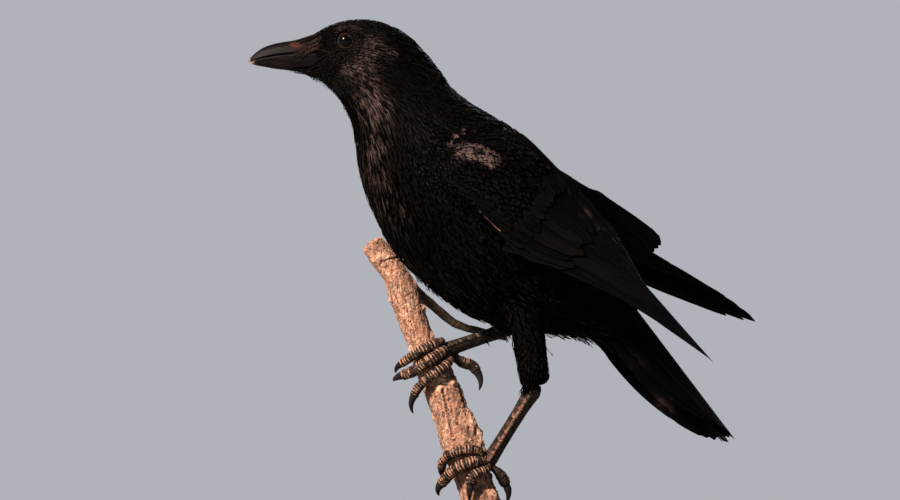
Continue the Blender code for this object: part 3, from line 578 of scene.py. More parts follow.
def eye_finish():
    """A black pupil in a dark brown iris, under a wet surface."""
    finish = Finish("eye", Specular_IOR_Level=0.15)
    out = finish.fact("reach")
    rays = finish.noise(900.0, 3.0)
    iris = finish.mix(rays.ramp(0.3, 0.75), (0.0007, 0.0004, 0.0003), (0.0085, 0.0031, 0.0016))
    pupil_edge = (out + rays * 0.03).ramp(0.46, 0.54)
    coloured = finish.mix(pupil_edge, (0.0003, 0.0003, 0.0004), iris)
    coloured = finish.mix(out.ramp(0.86, 0.97), coloured, (0.0030, 0.0022, 0.0022))
    return finish.done(coloured, 0.21, rays * pupil_edge, 0.004)


def lid_finish():
    """Bare folded skin with a brown inner rim, and a bluish painted reflection of the sky on one
    side of it.
    """
    finish = Finish("eyelid", Specular_IOR_Level=0.03)
    folds = finish.noise(1100.0, 3.0)
    rim = 1 - finish.fact("reach").ramp(0.34, 0.54)
    skin = finish.mix(rim * folds.ramp(0.36, 0.60), (0.0030, 0.0025, 0.0024),
                      (0.115, 0.056, 0.034))
    # Painted reflection of the sky: a bluish crescent on the rim
    skin = finish.mix(rim * finish.fact("painted_sky_glint"), skin, (0.050, 0.068, 0.100))
    return finish.done(skin, 0.42 + folds * 0.2, folds, 0.18)


def bark_finish():
    """Dry reddish tan bark with cracks, dark flakes and grey-green crusts, painted shade in its
    hollows and over its rough side away from the light, and painted highlights on its raised lips.
    """
    finish = Finish("bark", Specular_IOR_Level=0.25)
    rough_shaded_side, height = finish.fact("rough"), finish.fact("relief")
    fibre = finish.noise(1.0, 7.0, rough=0.7, at=finish.stretched(400, 400, 210), warp=0.8)
    blotch = finish.noise(85.0, 5.0, rough=0.7)
    speckle = finish.noise(520.0, 4.0, rough=0.75)
    cells = finish.node("ShaderNodeTexVoronoi", {"feature": "DISTANCE_TO_EDGE"},
                        {"Vector": finish.stretched(240, 240, 105), "Scale": 1.0},
                        output="Distance")
    tan = finish.mix(fibre.ramp(0.28, 0.66), (0.215, 0.096, 0.060), (0.53, 0.305, 0.208))
    tan = finish.mix(blotch.ramp(0.45, 0.70) * 0.55, tan, (0.62, 0.420, 0.315))
    tan = finish.mix(blotch.ramp(0.46, 0.30) * 0.5, tan, (0.290, 0.120, 0.064))
    cracks = (1 - cells.ramp(0.0, 0.07)) * blotch.ramp(0.42, 0.60)
    # Painted shade: darker in the hollows of the relief; more dark specks on the rough shaded side
    hollow_shade = 1 - height.ramp(-0.25, 0.25)
    dark = (cracks * 0.5 + hollow_shade * 0.55 + speckle.ramp(0.54, 0.66) * (rough_shaded_side * 0.9 + 0.4)
            ).lowest(1.0)
    dots = finish.noise(900.0, 2.0, rough=0.6)
    tan = finish.mix(dots.ramp(0.54, 0.64) * 0.75, tan, (0.095, 0.030, 0.019))
    spots = finish.noise(300.0, 3.0, rough=0.7)
    tan = finish.mix(spots.ramp(0.58, 0.66) * 0.8, tan, (0.060, 0.022, 0.014))
    tan = finish.mix(dark, tan, (0.030, 0.015, 0.011))
    # Painted shade over the rough side, away from the light
    shaded = rough_shaded_side * blotch.ramp(0.30, 0.55)
    tan = finish.mix(shaded * 0.55, tan, (0.150, 0.066, 0.042))
    # Painted highlights: paler colour on the raised lips and knobs
    raised_highlight = height.ramp(0.55, 1.3) * speckle.ramp(0.40, 0.60)
    tan = finish.mix(raised_highlight * 0.75, tan, (0.80, 0.520, 0.370))
    return finish.done(tan, 0.74 + speckle * 0.2, fibre * 0.45 + speckle * 0.8 - cracks * 0.4,
                       1.1)


def twig_finish():
    """Thin grey-brown bark."""
    finish = Finish("twig_bark", Specular_IOR_Level=0.3)
    fine = finish.noise(380.0, 5.0, rough=0.65)
    blotch = finish.noise(70.0, 3.0)
    share = (fine * 0.6 + blotch * 0.5).ramp(0.35, 0.85)
    return finish.done(finish.mix(share, (0.012, 0.009, 0.007), (0.115, 0.080, 0.052)),
                       0.75 + fine * 0.15, fine, 0.45)


def wood_finish():
    """Dark stained hardwood under a satin varnish."""
    finish = Finish("stained_wood", Coat_Roughness=0.18)
    grain = finish.noise(1.0, 7.0, rough=0.6, at=finish.stretched(14, 170, 170), warp=1.2)
    pores = finish.noise(1.0, 3.0, at=finish.stretched(90, 1500, 1500))
    dark_pores = pores.ramp(0.62, 0.74)
    colour = finish.mix(grain.ramp(0.3, 0.7), (0.030, 0.017, 0.011), (0.110, 0.060, 0.034))
    colour = finish.mix(dark_pores * 0.7, colour, (0.012, 0.008, 0.006))
    return finish.done(colour, 0.34 + grain * 0.12, grain * 0.4 - dark_pores * 0.6, 0.08,
                       Coat_Weight=0.35)


def steel_finish():
    """Steel with fine turning rings and smudges."""
    finish = Finish("turned_steel", Metallic=1.0)
    rings = finish.noise(1.0, 3.0, at=finish.stretched(60, 60, 5200))
    smudge = finish.noise(90.0, 3.0)
    return finish.done(finish.mix(smudge, (0.40, 0.40, 0.41), (0.52, 0.52, 0.53)),
                       0.24 + smudge * 0.14 + rings * 0.06, rings, 0.02)


def floor_finish():
    """A pale matt floor."""
    finish = Finish("pale_floor", Specular_IOR_Level=0.2)
    mottle = finish.noise(3.0, 3.0)
    grit = finish.noise(900.0, 2.0)
    return finish.done(finish.mix(mottle, (0.205, 0.215, 0.235), (0.225, 0.235, 0.255)),
                       0.82 + grit * 0.1, grit, 0.05)


# ---------------------------------------------------------------------------------------------
# Mesh tools
# ---------------------------------------------------------------------------------------------

def unit(vectors):
    vectors = np.asarray(vectors, float)
    size = np.linalg.norm(vectors, axis=-1, keepdims=True)
    return vectors / np.maximum(size, 1e-9)


def flat_on(ways, normals):
    """Ways turned so that they lie flat on a surface."""
    return unit(ways - normals * (ways * normals).sum(-1, keepdims=True))


def turns(count):
    """Angles spread evenly round a full turn."""
    return np.linspace(0, 2 * math.pi, count, endpoint=False)


def spokes(right, up, around, flatness=1.0):
    """Ways out from a line at each of its points, all round it."""
    spin = turns(around)
    return (right[:, None] * np.cos(spin)[None, :, None]
            + up[:, None] * (np.sin(spin) * flatness)[None, :, None])


def smooth_at(rows, t):
    """Places t on a smooth curve through rows of numbers; row k is at t = k."""
    rows = np.asarray(rows, float)
    t = np.asarray(t, float)
    last = len(rows) - 1
    i = np.clip(t.astype(int), 0, last - 1)
    p0, p1 = rows[np.clip(i - 1, 0, last)], rows[i]
    p2, p3 = rows[i + 1], rows[np.clip(i + 2, 0, last)]
    f = (t - i).reshape(t.shape + (1,) * (rows.ndim - 1))
    return 0.5 * (2 * p1 + (p2 - p0) * f + (2 * p0 - 5 * p1 + 4 * p2 - p3) * f ** 2
                  + (3 * p1 - p0 - 3 * p2 + p3) * f ** 3)


def make_piece(name, points, faces, material, slot, replaces=(), facts=None, uv=None):
    """A smooth mesh piece from points in millimetres. faces is (corners, corner counts); facts
    are values kept on the points, and uv is one place for each point on the baked map."""
    corners, counts = faces
    mesh = bpy.data.meshes.new(name)
    mesh.vertices.add(len(points))
    mesh.vertices.foreach_set("co", (np.asarray(points, float) * MM).ravel())
    mesh.loops.add(len(corners))
    mesh.loops.foreach_set("vertex_index", np.asarray(corners, np.int32))
    mesh.polygons.add(len(counts))
    starts = np.concatenate([[0], np.cumsum(counts)[:-1]]).astype(np.int32)
    mesh.polygons.foreach_set("loop_start", starts)
    mesh.update(calc_edges=True)
    mesh.validate()
    mesh.shade_smooth()
    for key, values in (facts or {}).items():
        layer = mesh.attributes.new(key, "FLOAT", "POINT")
        layer.data.foreach_set("value", np.asarray(values, np.float32).ravel())
    if uv is not None:
        layer = mesh.uv_layers.new(name="OFBake")
        layer.data.foreach_set("uv", np.asarray(uv, np.float32)[corners].ravel())
    obj = bpy.data.objects.new(name, mesh)
    bpy.context.scene.collection.objects.link(obj)
    mesh.materials.append(material)
    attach(obj, "root")
    if replaces:
        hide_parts(*replaces)
    return obj


def ring_piece(name, rings, material, slot, replaces=(), facts=None):
    """A piece through rings of points, closed at both its ends."""
    return make_piece(name, rings.reshape(-1, 3), tube_faces(*rings.shape[:2]), material, slot,
                      replaces, facts)


def joined(surfaces):
    """Several surfaces, each (points, (corners, counts)), as one."""
    points, corners, counts = [], [], []
    start = 0
    for part, (part_corners, part_counts) in surfaces:
        points.append(part)
        corners.append(part_corners + start)
        counts.append(part_counts)
        start += len(part)
    return np.concatenate(points), (np.concatenate(corners), np.concatenate(counts))


def box_corners(node):
    """A node's lowest and highest corner in millimetres."""
    return (np.array(corner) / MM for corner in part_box(node))


def box_middle(node):
    return np.mean(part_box(node), 0) / MM


def quad_faces(quads):
    quads = np.asarray(quads, np.int32)
    return quads.ravel(), np.full(len(quads), 4, np.int32)


def tube_faces(rings, around, closed=True):
    """Faces over rings of points: a tube, with both its ends closed."""
    index = np.arange(rings * around).reshape(rings, around)
    low, high = index[:-1], index[1:]
    quads = np.stack([low, np.roll(low, -1, 1), np.roll(high, -1, 1), high], -1).reshape(-1, 4)
    corners, counts = quad_faces(quads)
    if closed:
        corners = np.concatenate([corners, index[0][::-1], index[-1]])
        counts = np.concatenate([counts, [around, around]])
    return corners, counts


def cad_mesh(node):
    """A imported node's points in millimetres, merged where they coincide, and its triangles."""
    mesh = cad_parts[node].data
    points = np.zeros(len(mesh.vertices) * 3)
    mesh.vertices.foreach_get("co", points)
    points = points.reshape(-1, 3) / MM
    mesh.calc_loop_triangles()
    triangles = np.zeros(len(mesh.loop_triangles) * 3, np.int32)
    mesh.loop_triangles.foreach_get("vertices", triangles)
    _, first, merged = np.unique(np.round(points, 3), axis=0, return_index=True,
                                 return_inverse=True)
    return points[first], merged.ravel()[triangles].reshape(-1, 3)


def cad_surface(node):
    points, triangles = cad_mesh(node)
    return points, (triangles.ravel(), np.full(len(triangles), 3))


def tube_of(node, sides, start_near):
    """The rings of a tube-like node, (rings, sides, 3), from the end nearest to a place."""
    points, triangles = cad_mesh(node)
    corners = points[triangles]
    normals = unit(np.cross(corners[:, 1] - corners[:, 0], corners[:, 2] - corners[:, 0]))
    neighbours = [set() for _ in points]
    for a, b, c in triangles:
        neighbours[a] |= {b, c}
        neighbours[b] |= {a, c}
        neighbours[c] |= {a, b}
    for k in np.argsort(np.linalg.norm(corners.mean(1) - start_near, axis=1)):
        apart = np.abs((points - corners[k, 0]) @ normals[k])
        ring = sorted(np.flatnonzero(apart < FLATNESS).tolist())
        if len(ring) == sides:
            break
    seen, found = set(ring), [points[ring]]
    while True:
        ring = sorted(set().union(*(neighbours[k] for k in ring)) - seen)
        if len(ring) != sides:
            break
        seen |= set(ring)
        found.append(points[ring])
    return np.array([in_order(ring, found, i) for i, ring in enumerate(found)])


def in_order(ring, rings, i):
    """A ring's points by their angle round the tube, from the side at +Y."""
    middle = ring.mean(0)
    ahead = rings[min(i + 1, len(rings) - 1)].mean(0) - rings[max(i - 1, 0)].mean(0)
    along = unit(ahead)
    start = np.array((0.0, 1.0, 0.0))
    start = unit(start - along * (start @ along))
    other = np.cross(along, start)
    angle = np.arctan2((ring - middle) @ other, (ring - middle) @ start)
    return ring[np.argsort(np.round(angle, 3) % (2 * math.pi))]


def refined(rings, along, around):
    """The same tube with more rings and more points round each ring, all on smooth curves."""
    rings = smooth_at(rings, np.linspace(0, len(rings) - 1, along))
    count = rings.shape[1]
    wrapped = np.concatenate([rings[:, -2:], rings, rings[:, :3]], 1).swapaxes(0, 1)
    t = np.linspace(0, count, around, endpoint=False) + 2
    return smooth_at(wrapped, t).swapaxes(0, 1)


def ring_lengths(rings):
    """How far each ring's middle is from the first, along the tube."""
    middles = rings.mean(1)
    steps = np.linalg.norm(np.diff(middles, axis=0), axis=1)
    return np.concatenate([[0.0], np.cumsum(steps)])


def grain(points, size, seed):
    """Smooth noise between -1 and 1 over points, with waves of a size in millimetres."""
    waves = np.random.default_rng(seed)
    total = np.zeros(len(points))
    for _ in range(9):
        direction = unit(waves.normal(size=3)) / (size * waves.uniform(0.7, 1.5))
        total += np.sin(points @ direction * 2 * math.pi + waves.uniform(0, 6.3))
    return total / 4.5


# ---------------------------------------------------------------------------------------------
# Skin
# ---------------------------------------------------------------------------------------------

def joined_solids(nodes, swell):
    """One mesh of several nodes, each grown a little so that the cuts between them close."""
    bm = bmesh.new()
    for node in nodes:
        points, triangles = cad_mesh(node)
        part = bmesh.new()
        corners = [part.verts.new(p * MM) for p in points]
        for a, b, c in triangles:
            part.faces.new((corners[a], corners[b], corners[c]))
        bmesh.ops.recalc_face_normals(part, faces=part.faces)
        part.normal_update()
        for vert in corners:
            vert.co += vert.normal * swell * MM
        copy = bpy.data.meshes.new("part")
        part.to_mesh(copy)
        part.free()
        bm.from_mesh(copy)
        bpy.data.meshes.remove(copy)
    mesh = bpy.data.meshes.new("joined")
    bm.to_mesh(mesh)
    bm.free()
    return mesh


def remeshed(mesh, voxel):
    """One closed surface round a mesh, in millimetres, and the normals at its points."""
    obj = bpy.data.objects.new("remesh", mesh)
    bpy.context.scene.collection.objects.link(obj)
    remesh = obj.modifiers.new("remesh", "REMESH")
    remesh.mode = "VOXEL"
    remesh.voxel_size = voxel * MM
    smooth = obj.modifiers.new("smooth", "SMOOTH")
    smooth.factor = 0.5
    smooth.iterations = 6
    bpy.context.view_layer.update()
    result = obj.evaluated_get(bpy.context.evaluated_depsgraph_get()).to_mesh()
    points = np.zeros(len(result.vertices) * 3)
    result.vertices.foreach_get("co", points)
    normals = np.zeros(len(result.vertices) * 3)
    result.vertex_normals.foreach_get("vector", normals)
    corners = np.zeros(len(result.loops), np.int32)
    result.loops.foreach_get("vertex_index", corners)
    counts = np.zeros(len(result.polygons), np.int32)
    result.polygons.foreach_get("loop_total", counts)
    obj.to_mesh_clear()
    bpy.data.objects.remove(obj)
    return (points.reshape(-1, 3) / MM, (corners, counts)), normals.reshape(-1, 3)


class Bed:
    """A surface that feathers lie on."""

    def __init__(self, surface):
        points, (corners, counts) = surface
        ends = np.cumsum(counts)
        polygons = [list(map(int, corners[e - c:e])) for e, c in zip(ends, counts)]
        self.tree = BVHTree.FromPolygons([Vector(p) for p in points], polygons)

    def nearest(self, places):
        """The nearest points of the surface, and its normals there."""
        found = [self.tree.find_nearest(Vector(p)) for p in np.asarray(places).reshape(-1, 3)]
        points = np.array([f[0] for f in found])
        normals = np.array([f[1] for f in found])
        shape = np.shape(places)
        return points.reshape(shape), normals.reshape(shape)


LIE_PLACE = np.array([row[0] for row in LIE], float)
LIE_WAY = unit([row[1] for row in LIE])
LIE_SIZE = np.array([row[2:] for row in LIE], float) * (1, 1, LOFT)


def plumage_at(places):
    """The way, length, width and height of the feathers at places on the body."""
    places = np.asarray(places, float)
    side = np.where(places[:, 1] < 0, -1.0, 1.0)
    mirrored = places * np.stack([np.ones_like(side), side, np.ones_like(side)], 1)
    way, size = np.zeros_like(places), np.zeros((len(places), 3))
    for start in range(0, len(places), 4096):
        part = slice(start, start + 4096)
        apart = np.linalg.norm(mirrored[part, None] - LIE_PLACE[None], axis=2)
        weight = 1.0 / (apart + 2.0) ** 4
        weight /= weight.sum(1, keepdims=True)
        way[part] = weight @ LIE_WAY
        size[part] = weight @ LIE_SIZE
    way[:, 1] *= side
    return unit(way), size


def toe_root(label, toe):
    """Rings that lead from the shank's end to a toe's root, and the upper side at each."""
    ankle = box_middle("tarsus_" + label)
    shank = refined(tube_of("tarsus_" + label, 10, ankle - (0, 0, 60)), FOOT_RINGS, 16)
    tube = refined(tube_of(f"toe_{label}_{toe}", 8, shank[0].mean(0)), FOOT_RINGS, 16)
    a, b = shank.mean(1), tube.mean(1)
    thick_a, thick_b = (np.linalg.norm(part - part.mean(1, keepdims=True), axis=2).mean(1)
                        for part in (shank, tube))
    line = np.array([a[12], a[3], (a[0] + b[0]) / 2, b[5], b[14]])
    thick = np.array([thick_a[12] * 0.9, thick_a[3] * 0.98, (thick_a[0] + thick_b[0]) * 0.52,
                      thick_b[5] * 1.08, thick_b[14]])
    t = np.linspace(0, 4, 30)
    middles, thick = smooth_at(line, t), smooth_at(thick[:, None], t)
    along = unit(np.gradient(middles, axis=0))
    up = b[5] - nearest_branch_point(b[5:6])[0]
    ups = []
    for way in along[::-1]:
        up = unit(up - way * (up @ way))
        ups.append(up)
    ups = np.array(ups[::-1])
    return middles[:, None] + spokes(ups, np.cross(along, ups), 16) * thick[:, None], ups


def palm(label):
    """The flesh that joins the shank to the roots of the four toes, as a mesh."""
    bm = bmesh.new()
    for toe in TOES:
        rings, _ = toe_root(label, toe)
        rows = [[bm.verts.new(point * MM) for point in ring] for ring in rings]
        for low, high in zip(rows, rows[1:]):
            for i in range(len(low)):
                j = (i + 1) % len(low)
                bm.faces.new((low[i], low[j], high[j], high[i]))
        bm.faces.new(rows[0][::-1])
        bm.faces.new(rows[-1])
    bmesh.ops.recalc_face_normals(bm, faces=bm.faces)
    return bm


def flesh_and_feet():
    """The closed surface of the flesh, shrunk by the coat's depth, and those of both feet."""
    (points, faces), normals = remeshed(joined_solids(FLESH + SHANKS, CUT_CLOSING), FLESH_VOXEL)
    _, size = plumage_at(points)
    depth = COAT_FLOOR + np.minimum(size[:, 2:], DEEPEST_COAT)
    for ankle in ANKLES:
        apart = np.linalg.norm(points - ankle, axis=1, keepdims=True)
        depth *= np.clip(apart / THIN_SHANK - 0.6, 0.0, 1.0)
    body = points - normals * (CUT_CLOSING * 0.6 + depth)
    near, out = Bed(cad_surface("chin")).nearest(points)
    thin = (points[:, 0] < CHIN_FRONT) & (points[:, 2] < CHIN_TOP)
    body[thin] = (near - out * COAT_FLOOR)[thin]
    feet = []
    for label in SIDES:
        bm = palm(label)
        solid = joined_solids([f"toe_{label}_{toe}" for toe in TOES], FOOT_SWELL)
        bm.from_mesh(solid)
        bm.from_mesh(joined_solids(["tarsus_" + label], SHANK_SWELL))
        bm.to_mesh(solid)
        bm.free()
        feet.append(remeshed(solid, FOOT_VOXEL)[0])
    return (body, faces), feet


def build_skin(flesh, feet):
    """One skin for the whole bird: downy under the plumage, bare and scaly on the feet."""
    toes = [f"toe_{label}_{toe}" for label in SIDES for toe in TOES]
    skin = make_piece("skin", *joined([flesh, *feet]), mottled_finish(*UNDER_DOWN), "feathers",
                      FLESH + SHANKS + toes)
    skin.data.materials.append(bare_leg_finish())
    bare = np.arange(len(skin.data.polygons)) >= len(flesh[1][1])
    skin.data.polygons.foreach_set("material_index", bare.astype(np.int32))


# ---------------------------------------------------------------------------------------------
# Vanes: small feathers laid on the skin
# ---------------------------------------------------------------------------------------------

def vane_plan(rows, columns):
    """The faces of one closed vane: a grid on top, a flat strip below and two ends."""
    index = np.arange(rows * columns).reshape(rows, columns)
    corners, counts = [], []
    for j in range(rows - 1):
        for k in range(columns - 1):
            corners += [index[j, k], index[j, k + 1], index[j + 1, k + 1], index[j + 1, k]]
            counts.append(4)
        corners += [index[j, 0], index[j + 1, 0], index[j + 1, -1], index[j, -1]]
        counts.append(4)
    corners += [*index[0][::-1], *index[-1]]
    counts += [columns, columns]
    return np.array(corners, np.int32), np.array(counts, np.int32)


def box_map(places, normals):
    """Places on an unwrap of the skin by the six ways that it can face."""
    low, high = places.min(0), places.max(0)
    share = (places - low) / (high - low)
    axis = np.abs(normals).argmax(1)
    facing = normals[np.arange(len(normals)), axis] > 0
    others = np.array([(1, 2), (0, 2), (0, 1)])[axis]
    pick = np.arange(len(places))
    u, v = (MAP_MARGIN + (1 - 2 * MAP_MARGIN) * share[pick, others[:, k]] for k in (0, 1))
    return np.stack([(axis + u) / 3, (facing + v) / 2], 1)


def kept_below(points, line=ROOFLINE, softness=ROOF_SOFTNESS):
    """Points kept under a smooth line, as it is seen from the side."""
    limit = np.interp(points[..., 0], *np.array(line, float).T) - softness
    excess = np.maximum(points[..., 2] - limit, 0)
    points[..., 2] += softness * (1 - np.exp(-excess / softness)) - excess
    return points


def outline(u, pointed):
    """A vane's half width along its length, from a narrow root to its widest and its tip."""
    rise = np.clip(u / 0.45, 0, 1) ** 0.6
    fall = np.clip((1 - u) / 0.55, 0, 1)
    return (0.25 + 0.75 * rise) * np.where(u > 0.45, fall ** (0.35 + 0.5 * pointed), 1.0)


def drawn_down(bed, places, cling):
    """Places drawn toward a bed where they are near it, how strongly, and the bed's normals."""
    near, normal = bed.nearest(places)
    gap = np.linalg.norm(near - places, axis=-1, keepdims=True)
    hold = cling * np.clip(HOLD_START - gap / HOLD_FADE, 0, 1)
    return places * (1 - hold) + near * hold, hold, normal


def lay_vanes(bed, roots, ways, lengths, widths, heights, rows, columns, pointed, cup,
              root_height, ragged=0.10, cling=0.85):
    """Vanes that start at roots on a bed and lie along ways. Gives points (vane, row, column,
    3) and the facts of each point."""
    count = len(roots)
    u = np.linspace(0, 1, rows)
    v = np.linspace(-1, 1, columns)
    place, normal = bed.nearest(roots)
    way = flat_on(ways, normal)
    steps = [(place, normal, way)]
    for _ in range(rows - 1):
        place, hold, near_normal = drawn_down(bed, place + way * (lengths / (rows - 1))[:, None],
                                              cling)
        normal = unit(normal * (1 - hold) + near_normal * hold)
        way = flat_on(way, normal)
        steps.append((place, normal, way))
    spine, spine_normal, way_rows = (np.stack(part, 1) for part in zip(*steps))
    side = np.cross(way_rows, spine_normal)
    rag = 1 - ragged * CHANCE.random((count, columns)) * (0.4 + np.abs(v))
    shape = outline(u, pointed)[None, :] * widths[:, None] / 2
    round_tip = -(0.30 + 0.45 * pointed) * widths[:, None, None] * (v ** 2)[None, None, :]
    slide = (rag[:, None, :] - 1) * lengths[:, None, None] * u[None, :, None] ** 2
    slide = slide + round_tip * (u ** 2)[None, :, None]
    points = (spine[:, :, None] + side[:, :, None] * (shape[:, :, None] * v)[..., None]
              + way_rows[:, :, None] * slide[..., None])
    points, _, near_normal = drawn_down(bed, points, cling)
    up = unit(spine_normal[:, :, None] * 0.6 + near_normal * 0.4)
    lift = root_height + (heights[:, None] - root_height) * (u ** 0.9)[None, :]
    roll = CHANCE.normal(0, VANE_ROLL, count)[:, None, None] * (v * u[:, None])[None]
    arch = cup * (1 - v ** 2)[None, None, :] * (0.3 + 0.7 * u)[None, :, None]
    rise = lift[:, :, None] + arch + roll * widths[:, None, None] / 2
    points = kept_below(points + up * rise[..., None])
    reach = np.broadcast_to(u[None, :, None], rise.shape)
    along = lengths[:, None, None] * reach + slide + CHANCE.random(count)[:, None, None] * 9
    across = np.broadcast_to(shape[:, :, None] * v, rise.shape)
    tone = np.broadcast_to(CHANCE.random(count)[:, None, None], rise.shape)
    return points, {"reach": reach, "along": along, "across": across, "tone": tone}


def vane_piece(name, points, facts, material, slot, root_uv, replaces=()):
    """One joined piece of vanes, each with a small patch at its root's place on the map."""
    count, rows, columns, _ = points.shape
    corners, counts = vane_plan(rows, columns)
    per = rows * columns
    all_corners = (corners[None] + (np.arange(count) * per)[:, None]).ravel()
    all_counts = np.tile(counts, count)
    u, v = (np.linspace(-MAP_PATCH, MAP_PATCH, n) for n in (rows, columns))
    patch = np.stack(np.meshgrid(v, u), -1)
    uv = (root_uv[:, None, None] + patch[None]).reshape(-1, 2)
    return make_piece(name, points.reshape(-1, 3), (all_corners, all_counts), material, slot,
                      replaces, facts, uv)


def scattered_roots(flesh):
    """Roots spread evenly over the flesh, closer where the feathers are small."""
    points, (corners, _) = flesh
    quads = corners.reshape(-1, 4)
    a, b, c, d = (points[quads[:, k]] for k in range(4))
    area = np.linalg.norm(np.cross(c - a, d - b), axis=1) / 2
    _, size = plumage_at((a + c) / 2)
    apart = SPACING * np.sqrt(size[:, 0] * size[:, 1])
    wanted = area / apart ** 2
    tries = 7 * int(wanted.sum())
    chosen = CHANCE.choice(len(quads), tries, p=wanted / wanted.sum())
    s, t = CHANCE.random((2, tries, 1))
    places = ((a[chosen] * (1 - s) + b[chosen] * s) * (1 - t)
              + (d[chosen] * (1 - s) + c[chosen] * s) * t)
    apart = apart[chosen]
    grid = {}
    kept = []
    keys = np.floor(places / ROOT_CELL).astype(int)
    for i, (x, y, z) in enumerate(keys.tolist()):
        px, py, pz = places[i]
        r = apart[i]
        reach = int(math.ceil(r / ROOT_CELL))
        around = range(-reach, reach + 1)
        if any((px - qx) ** 2 + (py - qy) ** 2 + (pz - qz) ** 2 < r * r
               for dx in around for dy in around for dz in around
               for qx, qy, qz in grid.get((x + dx, y + dy, z + dz), ())):
            continue
        grid.setdefault((x, y, z), []).append((px, py, pz))
        kept.append(i)
    return places[kept]


def owner_of(places, beds):
    """Which solid each place lies nearest to."""
    apart = np.stack([np.linalg.norm(bed.nearest(places)[0] - places, axis=1)
                      for bed in beds], 1)
    return apart.argmin(1)


def build_coat(skin_bed, lay_bed, flesh):
    """The body's small feathers, in one or two joined pieces for each solid of flesh."""
    roots = scattered_roots(flesh)
    owner = owner_of(roots, [Bed(cad_surface(node)) for node in FLESH + SHANKS])
    roots, owner = off_the_bare_places(roots, owner)
    ways, size = plumage_at(roots)
    ways = unit(ways + CHANCE.normal(0, WAY_SPREAD, ways.shape))
    lengths = size[:, 0] * CHANCE.uniform(*LENGTH_SPREAD, len(roots))
    widths = size[:, 1] * CHANCE.uniform(*WIDTH_SPREAD, len(roots))
    heights = size[:, 2] * CHANCE.uniform(*HEIGHT_SPREAD, len(roots)) + TIP_RISE
    clear = np.ones(len(roots), bool)
    for side in SIDES.values():
        clear &= off_the_eye(roots + ways * lengths[:, None], side)
    roots, owner, ways, size = roots[clear], owner[clear], ways[clear], size[clear]
    lengths, widths, heights = lengths[clear], widths[clear], heights[clear]
    _, normals = skin_bed.nearest(roots)
    uv = box_map(roots, normals)
    fine = feather_finish("head_feathers", (0.0018, 0.0016, 0.0015), (0.0057, 0.0044, 0.0040),
                          0.30, 0.9, 0.05, 0.62)
    broad = feather_finish("body_feathers", (0.0010, 0.0009, 0.0009), (0.0026, 0.0020, 0.0018),
                           0.36, 1.1, 0.015)
    for k, node in enumerate(FLESH):
        small = size[:, 0] < SMALL_FEATHER
        large_vane = NECK_VANE if node in ("neck", "head") else BROAD_VANE
        for label, these, material, shape in (("fine", (owner == k) & small, fine, FINE_VANE),
                                              ("broad", (owner == k) & ~small, broad, large_vane)):
            if not these.any():
                continue
            vanes, facts = lay_vanes(lay_bed, roots[these], ways[these], lengths[these],
                                     widths[these], heights[these], **shape)
            vane_piece(f"coat_{node}_{label}", vanes, facts, material, "feathers", uv[these])
    build_wisps(skin_bed, broad)


def build_wisps(bed, material):
    """Loose ends that stand off the outline: under the chin, at the nape, belly and vent."""
    for name, low, high, way, count, length, width, height, cling in WISPS:
        roots, _ = bed.nearest(CHANCE.uniform(low, high, (count, 3)))
        ways = unit(np.array(way) + CHANCE.normal(0, WISP_WAY_SPREAD, (count, 3)))
        lengths = length * CHANCE.uniform(0.7, 1.2, count)
        vanes, facts = lay_vanes(bed, roots, ways, lengths, np.full(count, width),
                                 height * CHANCE.uniform(0.4, 1.1, count), rows=7, columns=3,
                                 pointed=1.0, cup=0.1, cling=cling, root_height=0.3)
        _, normals = bed.nearest(roots)
        vane_piece("wisps_" + name, vanes, facts, material, "feathers", box_map(roots, normals))


def eye_centre(side):
    return np.array(EYE_CENTRE) * (1, side, 1)


def off_the_eye(places, side):
    """Which places are clear of the eye and its bare ring."""
    return np.linalg.norm(places - eye_centre(side), axis=1) > EYE_RADIUS + EYE_CLEARANCE


def off_the_bare_places(roots, owner):
    """Leave out roots on the eye, under the bill's horn, and where the wing's own rows lie."""
    keep = owner < len(FLESH)
    for label, side in SIDES.items():
        keep &= off_the_eye(roots, side)
        wrist, elbow = (np.mean(section, 0) for section in (ARM[label][0], ARM[label][-1]))
        axis = elbow - wrist
        share = (roots - wrist) @ axis / (axis @ axis)
        keep &= ~((owner == FLESH.index(f"wing_{label}_coverts")) & (share > LAST_SMALL_COVERT))
    keep &= roots[:, 0] > FACE_FRONT - CHIN_AHEAD * (roots[:, 2] < CHIN_HEIGHT)
    mirrored = roots * (1, 0, 1) + np.abs(roots) * (0, 1, 0)
    for line, _ in GAPE_LINES:
        path = smooth_at(np.array(line, float), np.linspace(0, len(line) - 1, 12))
        keep &= np.linalg.norm(mirrored[:, None] - path[None], axis=2).min(1) > GAPE_CLEARANCE
    return roots[keep], owner[keep]


# ---------------------------------------------------------------------------------------------
# Wings and tail
# ---------------------------------------------------------------------------------------------

def side_normal(along, across, side):
    normal = unit(np.cross(along, across))
    return np.where(normal[..., 1:2] * side < 0, -normal, normal)


def arm_at(label, t, v):
    """A point of the arm's outer face: t from wrist to elbow, v from its upper edge to its
    lower edge."""
    rows = np.array(ARM[label], float)
    t = np.asarray(t, float)
    section = smooth_at(rows, t)
    upper, lower = section[..., 0, :], section[..., 1, :]
    ends = smooth_at(rows, np.clip([t - 0.1, t + 0.1], 0, len(rows) - 1)).sum(-2)
    normal = side_normal(ends[1] - ends[0], lower - upper, SIDES[label])
    v = np.asarray(v, float)[..., None]
    camber = ARM_CAMBER * np.minimum(1.0, t / 2 + 0.25)[..., None] * np.sin(math.pi * v)
    return upper + (lower - upper) * v + normal * (camber + 1.5), normal


